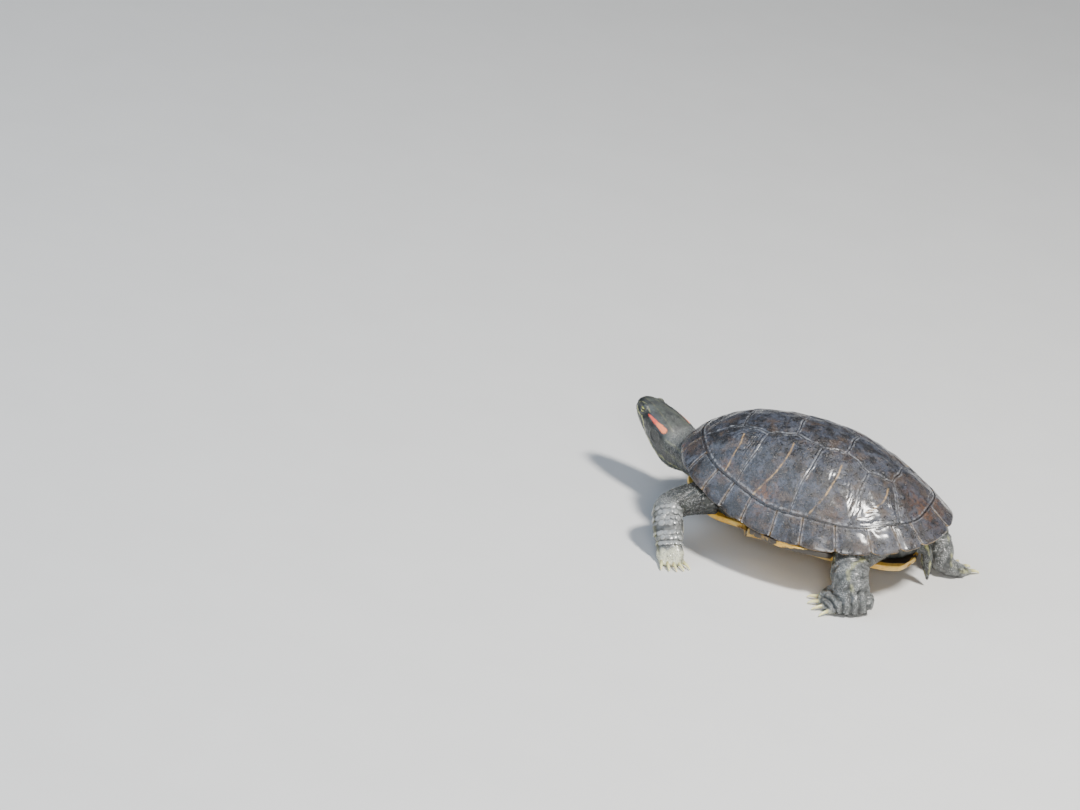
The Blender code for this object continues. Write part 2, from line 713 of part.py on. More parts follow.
def make_limb(prefix, side, limb, toes, shared, folded=False):
    """One leg: upper and lower length, foot and claws. A folded ankle meets the foot from above."""
    parts, cutters, shell_cutters, floor_block = shared
    make_foot(f"{prefix}foot_{side}", limb, toes, parts, cutters, floor_block)
    if folded:
        chain = limb["upper"] + limb["lower"]
    else:
        chain = limb["upper"] + limb["lower"] + limb["foot"][:1]
    sections = swept_rings(chain, limb["wide"], steps=2)
    knee = 2 * len(limb["upper"]) - 1
    upper_mesh = loft_sections(f"{prefix}leg_upper_{side}", sections[: knee + 1], end_gap=0.5 * JOINT_GAP)
    upper = add_object(upper_mesh.name, upper_mesh, parts, "skin")
    lower_mesh = loft_sections(
        f"{prefix}leg_lower_{side}", sections[knee:], start_gap=0.5 * JOINT_GAP, end_gap=0.5 * GAP
    )
    lower = add_object(lower_mesh.name, lower_mesh, parts, "skin")
    grown_sections = swept_rings(limb["foot"], limb["wide"], steps=2)
    grown_mesh = loft_sections(
        f"{prefix}foot_{side}_clearance", grown_sections, start_gap=-0.5 * GAP, grow=GAP
    )
    grown_foot = add_object(grown_mesh.name, grown_mesh, cutters)
    cut_away(upper, shell_cutters)
    cut_away(lower, shell_cutters[1:] + [grown_foot])


def make_tail(parts, shell_cutters):
    stations = [(centre, (radius, radius)) for centre, radius in TAIL_STATIONS]
    sections = swept_rings(stations, (1, 0, 0), steps=3)
    tail = add_object("tail", loft_sections("tail", sections), parts, "skin")
    cut_away(tail, shell_cutters)


# ---------------------------------------------------------------- assembly


def centre_on_origin(objects):
    """Move everything so that the middle of the whole box stands on the origin."""
    bpy.context.view_layer.update()
    graph = bpy.context.evaluated_depsgraph_get()
    corners = []
    for obj in objects:
        evaluated = obj.evaluated_get(graph)
        corners += [evaluated.matrix_world @ Vector(corner) for corner in evaluated.bound_box]
    middle = [0.5 * (min(c[i] for c in corners) + max(c[i] for c in corners)) for i in range(2)]
    for obj in objects:
        obj.data.transform(Matrix.Translation((-middle[0], -middle[1], 0.0)))


def main():
    clear_scene()
    parts = make_collection(OBJECT_NAME)
    cutters = make_collection("cutters", hidden=True)
    make_dome("carapace", parts, "shell")
    make_plastron("plastron", parts, "plastron")
    shell_cutters = [
        make_trunk("trunk_clearance", cutters, grow=GAP),
        make_dome("carapace_clearance", cutters, grow=SHELL_GAP),
        make_plastron("plastron_clearance", cutters, grow=SHELL_GAP),
    ]
    make_trunk("trunk", parts, "skin")
    make_head(parts, cutters)
    make_neck(parts, shell_cutters)
    shared = (parts, cutters, shell_cutters, make_floor_block(cutters))
    make_limb("fore", "left", FORE_LEFT, FORE_TOES, shared)
    make_limb("fore", "right", FORE_RIGHT, FORE_TOES, shared)
    make_limb("hind", "left", HIND_LEFT, HIND_TOES, shared, folded=True)
    make_limb("hind", "right", HIND_RIGHT, HIND_TOES, shared)
    make_tail(parts, shell_cutters)
    centre_on_origin(list(parts.objects))


main()
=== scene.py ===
"""The finish of a red-eared slider: shell plates, skin, scales, eyes and claws round its frame.

The turtle faces -Y, its own left is +X and the floor is z = 0. Shapes are worked out in millimetres
about the middle of the shell's length, and become metres in the frame when a mesh is made.
"""

import logging
import math
from dataclasses import dataclass, field
from enum import Enum

import bmesh
import bpy
import numpy as np
from mathutils import Matrix, Vector
from mathutils.bvhtree import BVHTree
from mathutils.kdtree import KDTree


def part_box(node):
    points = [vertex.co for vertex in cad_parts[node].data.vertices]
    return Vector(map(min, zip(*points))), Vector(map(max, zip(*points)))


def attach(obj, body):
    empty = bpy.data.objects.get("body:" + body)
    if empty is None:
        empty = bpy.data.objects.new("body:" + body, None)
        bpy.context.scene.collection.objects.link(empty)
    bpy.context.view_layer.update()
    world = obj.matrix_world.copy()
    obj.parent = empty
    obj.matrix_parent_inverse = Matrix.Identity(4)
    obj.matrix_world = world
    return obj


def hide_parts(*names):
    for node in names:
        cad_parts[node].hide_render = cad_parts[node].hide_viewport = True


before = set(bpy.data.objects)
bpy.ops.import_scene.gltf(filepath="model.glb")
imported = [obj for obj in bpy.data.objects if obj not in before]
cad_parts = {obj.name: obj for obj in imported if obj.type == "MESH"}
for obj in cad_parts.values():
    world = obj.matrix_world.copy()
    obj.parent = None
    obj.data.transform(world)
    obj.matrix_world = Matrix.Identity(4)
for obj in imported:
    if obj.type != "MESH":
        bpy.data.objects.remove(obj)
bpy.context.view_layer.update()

Array = np.ndarray
Material, Mesh, Object, Socket = bpy.types.Material, bpy.types.Mesh, bpy.types.Object, bpy.types.NodeSocket
Outputs = bpy.types.bpy_prop_collection
Colour = tuple[float, float, float]
Source = Socket | float | str | Colour | Material
Point = tuple[float, float, float]
Pair = tuple[float, float]
Rows = tuple[tuple[float, ...], ...]

LOG = logging.getLogger("slider")
MM = 0.001
BODY = "root"
SHELL_LENGTH = 200.0
SHELL_Y = 1000.0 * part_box("carapace")[0].y + 0.5 * SHELL_LENGTH
SHIFT = np.array([0.0, SHELL_Y, 0.0])


# ---------------------------------------------------------------- curves, noise and grids


def smooth_step(value: Array) -> Array:
    """0 below 0, 1 above 1 and a smooth rise between."""
    value = np.clip(value, 0.0, 1.0)
    return value * value * (3.0 - 2.0 * value)


def rising(value: Array | float, start: Array | float, width: float) -> Array:
    """0 up to the start, and a smooth rise to 1 over the width after it."""
    return smooth_step((value - start) / width)


def falling(value: Array | float, start: Array | float, width: float) -> Array:
    """1 up to the start, and a smooth fall to 0 over the width after it."""
    return 1.0 - rising(value, start, width)


def hump(value: Array, centre: Array | float, width: float) -> Array:
    """A bell of height 1 at the centre."""
    return np.exp(-(((value - centre) / width) ** 2))


def creases(phase: Array, width: float) -> Array:
    """1 in narrow grooves at each whole number of the phase, falling to 0 between them."""
    return np.exp(-(((phase - np.round(phase)) / width) ** 2))


def wave_noise(points: Array, wavelength: float, seed: int) -> Array:
    """Smooth wandering values, mostly between -1 and 1, from crossed waves.

    Args:
        points: places in millimetres, one a row.
        wavelength: the usual distance from crest to crest.
        seed: fixes the waves.

    Returns:
        One value for each place.
    """
    random = np.random.default_rng(seed)
    directions = random.normal(size=(8, 3))
    directions /= np.linalg.norm(directions, axis=1)[:, None]
    stretch = random.uniform(0.6, 1.7, 8)
    phases = random.uniform(0.0, 2.0 * math.pi, 8)
    total = np.zeros(points.shape[:-1])
    for direction, scale, phase in zip(directions, stretch, phases):
        total += np.sin(2.0 * math.pi * (points @ direction) * scale / wavelength + phase)
    return total / 3.0


def smooth_path(values: Array, steps: int) -> Array:
    """The values with a number of steps of a smooth curve between each pair."""
    ends = np.vstack([values[:1], values, values[-1:]])
    t = (np.arange(steps) / steps)[:, None]
    parts = []
    for a, b, c, d in zip(ends, ends[1:], ends[2:], ends[3:]):
        bend = (2.0 * a - 5.0 * b + 4.0 * c - d) * t**2 + (3.0 * b - a - 3.0 * c + d) * t**3
        parts.append(0.5 * (2.0 * b + (c - a) * t + bend))
    return np.vstack([*parts, values[-1:]])


def unit(vectors: Array) -> Array:
    """The vectors at length 1."""
    return vectors / np.maximum(np.linalg.norm(vectors, axis=-1, keepdims=True), 1e-9)


def run_along(points: Array) -> Array:
    """How far along a line each of its points lies."""
    return np.concatenate([[0.0], np.cumsum(np.linalg.norm(np.diff(points, axis=0), axis=1))])


def on_left(points: Array) -> Array:
    """The places, with those on the right side folded over to the left."""
    return points * np.array([1.0, 0.0, 1.0]) + np.abs(points) * np.array([0.0, 1.0, 0.0])


def line_distance(points: Array, line: Array) -> Array:
    """How far each point is from a line of several straight lengths, in any number of axes."""
    nearest = np.full(points.shape[:-1], np.inf)
    for start, end in zip(line, line[1:]):
        along = end - start
        share = np.clip(((points - start) @ along) / (along @ along), 0.0, 1.0)
        gap = np.linalg.norm(points - start - share[..., None] * along, axis=-1)
        nearest = np.minimum(nearest, gap)
    return nearest


def grid_normals(grid: Array) -> Array:
    """Normals of a grid whose columns close on themselves."""
    around = np.roll(grid, -1, axis=1) - np.roll(grid, 1, axis=1)
    along = np.gradient(grid, axis=0)
    return unit(np.cross(around, along))


@dataclass
class Surface:
    """Points and faces in shell millimetres, with named values at the points."""

    points: Array
    quads: Array
    triangles: Array
    values: dict[str, Array] = field(default_factory=dict)

    @staticmethod
    def tube(grid: Array, values: dict[str, Array] | None = None) -> "Surface":
        """A closed surface from a grid whose columns close, with a fan over each end row.

        Args:
            grid: rows by columns by three.
            values: rows by columns of each named value.

        Returns:
            The surface, with its faces outwards.
        """
        rows, columns = grid.shape[:2]
        points = np.vstack([grid.reshape(-1, 3), grid[0].mean(0), grid[-1].mean(0)])
        number = np.arange(rows * columns).reshape(rows, columns)
        after = np.roll(number, -1, axis=1)
        quads = np.stack([number[:-1], after[:-1], after[1:], number[1:]], axis=-1).reshape(-1, 4)
        first, last = rows * columns, rows * columns + 1
        start = np.stack([after[0], number[0], np.full(columns, first)], axis=-1)
        end = np.stack([number[-1], after[-1], np.full(columns, last)], axis=-1)
        named = {}
        for name, value in (values or {}).items():
            value = np.broadcast_to(value, (rows, columns))
            named[name] = np.concatenate([value.ravel(), [value[0].mean(), value[-1].mean()]])
        made = Surface(points, quads, np.vstack([start, end]), named)
        return made if made.volume() > 0.0 else made.flipped()

    @staticmethod
    def joined(parts: list["Surface"]) -> "Surface":
        """Several surfaces as one; a value that a part lacks is 0 there."""
        starts = np.cumsum([0] + [len(part.points) for part in parts])
        names = sorted({name for part in parts for name in part.values})
        values = {
            name: np.concatenate([part.values.get(name, np.zeros(len(part.points))) for part in parts])
            for name in names
        }
        return Surface(
            np.vstack([part.points for part in parts]),
            np.vstack([part.quads + start for part, start in zip(parts, starts)]),
            np.vstack([part.triangles + start for part, start in zip(parts, starts)]),
            values,
        )

    def volume(self) -> float:
        """The volume inside, negative if the faces point inwards."""
        halves = [self.quads[:, [0, 1, 2]], self.quads[:, [0, 2, 3]], self.triangles]
        corners = self.points[np.vstack(halves)]
        return float(np.einsum("ij,ij->i", corners[:, 0], np.cross(corners[:, 1], corners[:, 2])).sum())

    def flipped(self) -> "Surface":
        """The same surface with its faces turned over."""
        return Surface(self.points, self.quads[:, ::-1], self.triangles[:, ::-1], self.values)

    def mirrored(self) -> "Surface":
        """The same surface on the other side of the body."""
        points = self.points * np.array([-1.0, 1.0, 1.0])
        return Surface(points, self.quads[:, ::-1], self.triangles[:, ::-1], dict(self.values))

    def mesh(self, name: str, scale: float = MM, shift: float = SHELL_Y) -> Mesh:
        """The surface as a smooth mesh, in metres in the frame unless told otherwise."""
        mesh = bpy.data.meshes.new(name)
        points = (self.points + np.array([0.0, shift, 0.0])) * scale
        mesh.vertices.add(len(points))
        mesh.vertices.foreach_set("co", points.astype(np.float32).ravel())
        corners = np.concatenate([self.quads.ravel(), self.triangles.ravel()]).astype(np.int32)
        mesh.loops.add(len(corners))
        mesh.loops.foreach_set("vertex_index", corners)
        sizes = np.concatenate([np.full(len(self.quads), 4), np.full(len(self.triangles), 3)])
        mesh.polygons.add(len(sizes))
        mesh.polygons.foreach_set("loop_start", (np.cumsum(sizes) - sizes).astype(np.int32))
        mesh.update(calc_edges=True)
        mesh.shade_smooth()
        for value_name, value in self.values.items():
            set_value(mesh, value_name, value)
        return mesh


def set_value(mesh: Mesh, name: str, values: Array) -> None:
    """Keeps one number a point on the mesh, for its material or its scales."""
    attribute = mesh.attributes.get(name) or mesh.attributes.new(name, "FLOAT", "POINT")
    attribute.data.foreach_set("value", np.ascontiguousarray(values, np.float32))


def set_vectors(mesh: Mesh, name: str, values: Array) -> None:
    """Keeps one direction or place a point on the mesh."""
    attribute = mesh.attributes.get(name) or mesh.attributes.new(name, "FLOAT_VECTOR", "POINT")
    attribute.data.foreach_set("vector", np.ascontiguousarray(values, np.float32).ravel())


def fetch(items: bpy.types.bpy_prop_collection, key: str, width: int = 1, kind: type = np.float32) -> Array:
    """One value of each item, as a row of numbers if it is wider than 1."""
    found = np.zeros(len(items) * width, kind)
    items.foreach_get(key, found)
    return found.reshape(-1, width) if width > 1 else found


def read_values(mesh: Mesh, name: str, vector: bool = False) -> Array:
    """The numbers, or the directions, that a mesh keeps at its points."""
    items = mesh.attributes[name].data
    return fetch(items, "vector", 3) if vector else fetch(items, "value")


def read_points(mesh: Mesh) -> Array:
    """The mesh's points, one a row."""
    return fetch(mesh.vertices, "co", 3).astype(float)


def write_points(mesh: Mesh, points: Array) -> None:
    """Moves the mesh's points."""
    mesh.vertices.foreach_set("co", np.ascontiguousarray(points, np.float32).ravel())
    mesh.update()


def read_normals(mesh: Mesh) -> Array:
    """The mesh's point normals."""
    return fetch(mesh.vertex_normals, "vector", 3).astype(float)


def read_edges(mesh: Mesh) -> Array:
    """The two ends of each edge."""
    return fetch(mesh.edges, "vertices", 2, np.int32)


def relax(points: Array, edges: Array, passes: int, weight: Array | float) -> Array:
    """Moves each point towards its neighbours' middle.

    Args:
        points: places, one a row.
        edges: the two ends of each edge.
        passes: how often.
        weight: how far of the way each time, for all points or for each.

    Returns:
        The moved places.
    """
    ends = np.concatenate([edges, edges[:, ::-1]])
    count = np.maximum(np.bincount(ends[:, 0], minlength=len(points)), 1)
    weight = np.broadcast_to(np.asarray(weight, float), (len(points),))[:, None]
    for _ in range(passes):
        total = np.stack(
            [np.bincount(ends[:, 0], points[ends[:, 1], axis], len(points)) for axis in range(3)], axis=1
        )
        points = points + weight * (total / count[:, None] - points)
    return points


def add_piece(
    name: str, mesh: Mesh, material: Material, replaces: tuple[str, ...] = ()
) -> Object:
    """Puts a finished mesh in the scene, riding on the body and standing for its CAD nodes.

    Args:
        name: the piece's name.
        mesh: its mesh, in metres in the frame.
        material: its finish.
        replaces: the CAD nodes that it stands for.

    Returns:
        The object.
    """
    piece = bpy.data.objects.new(name, mesh)
    bpy.context.scene.collection.objects.link(piece)
    mesh.materials.clear()
    mesh.materials.append(material)
    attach(piece, BODY)
    if replaces:
        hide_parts(*replaces)
    triangles = sum(len(polygon.vertices) - 2 for polygon in mesh.polygons)
    LOG.info("%s: %d triangles, stands for %s", name, triangles, ", ".join(replaces) or "nothing")
    return piece


# ---------------------------------------------------------------- finishes


class Nodes:
    """Short hands for building one tree of nodes."""

    def __init__(self, tree: bpy.types.NodeTree) -> None:
        """Takes the tree to build in."""
        self.tree = tree

    def join(self, value: Source, target: Socket) -> None:
        """Links an input to a socket, or sets it; a colour is set without its alpha."""
        if isinstance(value, Socket):
            self.tree.links.new(value, target)
        else:
            target.default_value = (*value, 1.0) if target.type == "RGBA" else value

    def add(self, kind: str, inputs: dict[str | int, Source], **choices: str) -> Outputs:
        """Adds a node.

        Args:
            kind: the node's type.
            inputs: what each input is linked or set to.
            choices: the node's own settings, made first.

        Returns:
            The node's outputs.
        """
        node = self.tree.nodes.new(kind)
        for name, choice in choices.items():
            setattr(node, name, choice)
        for name, value in inputs.items():
            self.join(value, node.inputs[name])
        return node.outputs


class Shader(Nodes):
    """Short hands for building one material. Lengths are in millimetres."""

    def __init__(self, name: str) -> None:
        """Starts a material with one Principled shader."""
        self.material = bpy.data.materials.new(name)
        self.material.use_nodes = True
        super().__init__(self.material.node_tree)
        place = self.add("ShaderNodeTexCoord", {})["Object"]
        self.place = self.add("ShaderNodeVectorMath", {0: place, "Scale": 1.0 / MM}, operation="SCALE")[0]

    def value(self, name: str) -> Socket:
        """A number kept at the mesh's points."""
        return self.add("ShaderNodeAttribute", {}, attribute_name=name)["Fac"]

    def stretched(self, scale: Point) -> Socket:
        """The place with each axis scaled."""
        return self.add("ShaderNodeMapping", {"Vector": self.place, "Scale": scale})[0]

    def noise(
        self, size: float, detail: float = 3.0, roughness: float = 0.55, place: Socket | None = None
    ) -> Socket:
        """Cloudy values from 0 to 1, with features of about this size."""
        look = {"Scale": 1.0 / size, "Detail": detail, "Roughness": roughness}
        return self.add("ShaderNodeTexNoise", {"Vector": place or self.place, **look})["Fac"]

    def cells(self, size: float) -> Socket:
        """Distance in a pattern of cells of about this size."""
        return self.add("ShaderNodeTexVoronoi", {"Vector": self.place, "Scale": 1.0 / size})["Distance"]

    def math(self, operation: str, first: Socket | float, second: Socket | float = 0.0) -> Socket:
        """One sum."""
        return self.add("ShaderNodeMath", {0: first, 1: second}, operation=operation)[0]

    def times(self, first: Socket, second: Socket | float) -> Socket:
        """Two values multiplied."""
        return self.math("MULTIPLY", first, second)

    def fade(self, value: Socket, low: float, high: float, start: float = 0.0, end: float = 1.0) -> Socket:
        """A smooth change from start to end as the value goes from low to high."""
        inputs = {0: value, 1: low, 2: high, 3: start, 4: end}
        return self.add("ShaderNodeMapRange", inputs, interpolation_type="SMOOTHSTEP")[0]

    def mix(self, factor: Socket | float, first: Socket | Colour, second: Socket | Colour) -> Socket:
        """One colour turning into another."""
        return self.add("ShaderNodeMix", {0: factor, 6: first, 7: second}, data_type="RGBA")[2]

    def bump(self, height: Socket, distance: float, below: Socket | None = None) -> Socket:
        """A normal roughened by a height of this many millimetres."""
        inputs = {"Strength": 1.0, "Distance": distance * MM, "Height": height}
        if below is not None:
            inputs["Normal"] = below
        return self.add("ShaderNodeBump", inputs)[0]

    def finish(self, colour: Socket, rough: Socket | float, normal: Socket, **more: float) -> Material:
        """Sets the shader's inputs and hands back the material.

        Args:
            colour: its base colour.
            rough: its roughness.
            normal: its normal.
            more: constants for other inputs, named with underscores for spaces.

        Returns:
            The material.
        """
        principled = self.tree.nodes["Principled BSDF"]
        for name, value in {"Base Color": colour, "Roughness": rough, "Normal": normal, **more}.items():
            self.join(value, principled.inputs[name.replace("_", " ")])
        return self.material


@dataclass(frozen=True)
class ShellFinish:
    """Wet horn of the upper shell: near black, clouded with brown, with tan growth bars."""

    black: Colour = (0.010, 0.010, 0.012)
    slate: Colour = (0.048, 0.055, 0.076)
    brown: Colour = (0.066, 0.046, 0.034)
    tan: Colour = (0.36, 0.23, 0.10)
    rust: Colour = (0.112, 0.054, 0.029)
    yellow: Colour = (0.66, 0.36, 0.05)
    # pale is the grey of the specks and of the painted highlight along the seams.
    pale: Colour = (0.30, 0.31, 0.33)

    def material(self) -> Material:
        """The node material."""
        s = Shader("wet_shell_horn")
        cloud = s.fade(s.noise(8.0, 6.0, 0.68), 0.41, 0.61)
        patch = s.fade(s.noise(15.0, 6.0, 0.66, s.stretched((1.0, 1.0, 1.3))), 0.50, 0.62)
        fleck = s.fade(s.noise(1.1, 4.0, 0.7), 0.58, 0.70)
        speck = s.fade(s.noise(0.55, 3.0, 0.6), 0.62, 0.72)
        colour = s.mix(cloud, self.black, self.slate)
        colour = s.mix(s.times(patch, 0.8), colour, self.brown)
        colour = s.mix(s.times(s.fade(s.noise(1.7, 5.0, 0.7), 0.50, 0.60), 0.80), colour, self.black)
        colour = s.mix(s.times(fleck, 0.30), colour, self.tan)
        colour = s.mix(s.times(speck, 0.40), colour, self.pale)
        rusty = s.times(s.value("rust"), s.fade(s.noise(3.5, 5.0, 0.65), 0.42, 0.60))
        colour = s.mix(rusty, colour, self.rust)
        ragged = s.math("ADD", s.value("bar"), s.times(s.noise(2.4, 4.0, 0.65), 1.8))
        broken = s.fade(s.noise(6.0, 3.0), 0.36, 0.52, 0.25, 0.9)
        bar = s.times(s.fade(ragged, 0.95, 1.75, 1.0, 0.0), broken)
        colour = s.mix(bar, colour, self.tan)
        # Painted highlight: a pale, broken band just inside each seam stands in for the glints along the wet
        # seam ridges.
        wear_and_glint = s.times(s.fade(s.value("seam"), 0.30, 0.75), s.fade(s.value("seam"), 1.1, 2.0, 1.0, 0.0))
        wear_and_glint = s.times(wear_and_glint, s.fade(s.noise(2.6, 4.0), 0.44, 0.62, 0.05, 0.55))
        colour = s.mix(wear_and_glint, colour, self.pale)
        seam = s.fade(s.value("seam"), 0.05, 0.36, 0.7, 0.0)
        colour = s.mix(seam, colour, self.black)
        under = s.fade(s.value("under"), 0.30, 0.62)
        blotch = s.fade(s.noise(7.0, 3.0), 0.46, 0.54)
        belly = s.mix(blotch, self.yellow, self.black)
        colour = s.mix(under, colour, belly)
        colour = s.mix(s.times(s.value("edging"), s.fade(s.noise(5.0), 0.35, 0.55)), colour, self.yellow)
        rough = s.fade(s.noise(2.0, 6.0, 0.7), 0.32, 0.68, 0.18, 0.52)
        grain = s.noise(0.8, 5.0, 0.7)
        lumps = s.noise(3.2, 4.0, 0.6)
        rings = s.math("SINE", s.times(s.value("growth"), 5.0 * math.pi))
        rings = s.times(rings, s.fade(s.noise(9.0, 3.0), 0.50, 0.66))
        normal = s.bump(lumps, 0.42)
        normal = s.bump(grain, 0.38, normal)
        normal = s.bump(rings, 0.03, normal)
        return s.finish(colour, rough, normal, Coat_Weight=0.8, Coat_Roughness=0.18, Specular_IOR_Level=0.5)


@dataclass(frozen=True)
class UnderShellFinish:
    """Smooth yellow horn with a dark blotch on each plate."""

    yellow: Colour = (0.72, 0.40, 0.045)
    pale: Colour = (0.76, 0.52, 0.13)
    blotch: Colour = (0.035, 0.028, 0.020)
    stain: Colour = (0.36, 0.17, 0.05)

    def material(self) -> Material:
        """The node material."""
        s = Shader("under_shell_horn")
        colour = s.mix(s.fade(s.noise(14.0, 4.0), 0.35, 0.65), self.yellow, self.pale)
        colour = s.mix(s.times(s.fade(s.noise(3.0, 5.0, 0.7), 0.52, 0.72), 0.5), colour, self.stain)
        # Dark patches: the real ones on the plates and bridges, and painted shade on the bridges and the
        # sheet's upper face.
        ragged = s.math("ADD", s.value("blotch"), s.times(s.math("SUBTRACT", s.noise(5.0, 4.0), 0.5), 0.9))
        colour = s.mix(s.fade(ragged, 0.42, 0.58), colour, self.blotch)
        colour = s.mix(s.fade(s.value("seam"), 0.1, 0.7, 0.8, 0.0), colour, self.stain)
        rough = s.fade(s.noise(4.0, 4.0), 0.3, 0.7, 0.28, 0.48)
        rings = s.math("SINE", s.times(s.value("growth"), 2.0 * math.pi))
        normal = s.bump(rings, 0.03, s.bump(s.noise(1.2, 4.0), 0.05))
        return s.finish(colour, rough, normal, Coat_Weight=0.25, Coat_Roughness=0.2)


class SkinLayer(Enum):
    """What of the body's cover a material is for."""

    SKIN = "damp_skin"
    SCALES = "damp_scales"


@dataclass(frozen=True)
class SkinFinish:
    """Damp dark olive skin with pale stripes, the red ear patch, painted sheen and painted shade, shared by
    skin and scales.
    """

    # dark is the darkest olive, and also what painted shade darkens to.
    dark: Colour = (0.013, 0.015, 0.015)
    olive: Colour = (0.033, 0.040, 0.034)
    # grey is the colour of the painted sheen and of the scales' random lighter tone.
    grey: Colour = (0.27, 0.28, 0.28)
    pale: Colour = (0.62, 0.62, 0.24)
    cream: Colour = (0.66, 0.66, 0.47)
    red: Colour = (0.66, 0.085, 0.045)
    orange: Colour = (0.80, 0.22, 0.085)

    def material(self, layer: SkinLayer) -> Material:
        """The node material of the skin itself or of the scales on it."""
        s = Shader(layer.value)
        colour = s.mix(s.fade(s.noise(6.0, 5.0, 0.6), 0.40, 0.62), self.dark, self.olive)
        # Painted sheen: this value turns the skin towards grey where the wet skin would glint.
        light = s.times(s.value("light"), s.fade(s.noise(3.5, 4.0), 0.25, 0.60, 0.55, 1.0))
        # Painted shade: where scales or plates grow, the skin between them gets less of the painted sheen, so
        # the gaps look darker.
        if layer is SkinLayer.SKIN:
            light = s.times(light, s.fade(s.value("bead"), 0.0, 1.0, 1.0, 0.40))
        colour = s.mix(light, colour, self.grey)
        wander = s.fade(s.noise(1.3, 3.0), 0.25, 0.60, 0.6, 1.0)
        colour = s.mix(s.times(s.value("pale"), wander), colour, self.pale)
        colour = s.mix(s.times(s.value("cream"), wander), colour, self.cream)
        fiery = s.mix(s.fade(s.value("ripe"), 0.2, 0.8), self.red, self.orange)
        colour = s.mix(s.value("red"), colour, fiery)
        # Painted shade: folds, creases, the lower head and neck and the upper arms darken towards dark; the
        # mouth line, the eardrum and a stripe down each forearm are real dark marks.
        colour = s.mix(s.value("shade"), colour, self.dark)
        if layer is SkinLayer.SKIN:
            grain = s.fade(s.cells(0.55), 0.0, 0.6, 1.0, 0.0)
            fine = s.noise(0.35, 3.0)
            height = s.times(grain, s.value("grain"))
            normal = s.bump(fine, 0.02, s.bump(height, 0.12))
            rough = s.fade(s.noise(2.0, 4.0), 0.3, 0.7, 0.30, 0.48)
            return s.finish(colour, rough, normal, Coat_Weight=0.35, Coat_Roughness=0.18)
        tone = s.fade(s.value("tone"), 0.0, 1.0, 0.0, 0.42)
        colour = s.mix(tone, colour, self.grey)
        normal = s.bump(s.noise(0.4, 4.0), 0.035)
        rough = s.fade(s.noise(1.5, 4.0), 0.3, 0.7, 0.16, 0.38)
        return s.finish(colour, rough, normal, Coat_Weight=0.6, Coat_Roughness=0.10)


@dataclass(frozen=True)
class ClawFinish:
    """Horn that is pale yellow at the tip and duller where it leaves the toe."""

    root: Colour = (0.34, 0.32, 0.15)
    tip: Colour = (0.74, 0.70, 0.34)
    dust: Colour = (0.16, 0.13, 0.08)

    def material(self) -> Material:
        """The node material."""
        s = Shader("claw_horn")
        colour = s.mix(s.fade(s.value("reach"), 0.0, 0.45), self.root, self.tip)
        colour = s.mix(s.fade(s.noise(0.9, 4.0, 0.7), 0.55, 0.8, 0.0, 0.5), colour, self.dust)
        rough = s.fade(s.noise(0.8, 3.0), 0.3, 0.7, 0.24, 0.42)
        normal = s.bump(s.noise(0.35, 3.0), 0.03)
        return s.finish(
            colour, rough, normal, Coat_Weight=0.4, Coat_Roughness=0.15, Subsurface_Weight=0.15,
            Subsurface_Scale=0.002,
        )


@dataclass(frozen=True)
class EyeFinish:
    """A wet eye: yellow-green iris, round pupil and a dark bar straight across."""

    iris: Colour = (0.46, 0.46, 0.07)
    rim: Colour = (0.12, 0.13, 0.03)
    black: Colour = (0.004, 0.004, 0.004)
    white: Colour = (0.10, 0.11, 0.07)

    def material(self) -> Material:
        """The node material."""
        s = Shader("wet_eye")
        radius = s.value("from_axis")
        streaks = s.noise(0.22, 3.0)
        colour = s.mix(s.fade(streaks, 0.35, 0.65), self.iris, self.rim)
        colour = s.mix(s.fade(radius, 0.52, 0.66), colour, self.white)
        bar = s.fade(s.value("off_bar"), 0.12, 0.22, 1.0, 0.0)
        colour = s.mix(bar, colour, self.black)
        colour = s.mix(s.fade(radius, 0.20, 0.25, 1.0, 0.0), colour, self.black)
        normal = s.bump(streaks, 0.005)
        return s.finish(colour, 0.12, normal, Coat_Weight=1.0, Coat_Roughness=0.02)


@dataclass(frozen=True)
class FloorFinish:
    """A pale plain studio floor with a trace of grain."""

    pale: Colour = (0.60, 0.60, 0.59)
    paler: Colour = (0.64, 0.64, 0.63)

    def material(self) -> Material:
        """The node material."""
        s = Shader("pale_floor")
        colour = s.mix(s.noise(60.0, 2.0), self.pale, self.paler)
        return s.finish(colour, 0.75, s.bump(s.noise(3.0), 0.02))


# ---------------------------------------------------------------- shell


# The ceiling's height where there is no shell overhead.
NO_SHELL = 1000.0


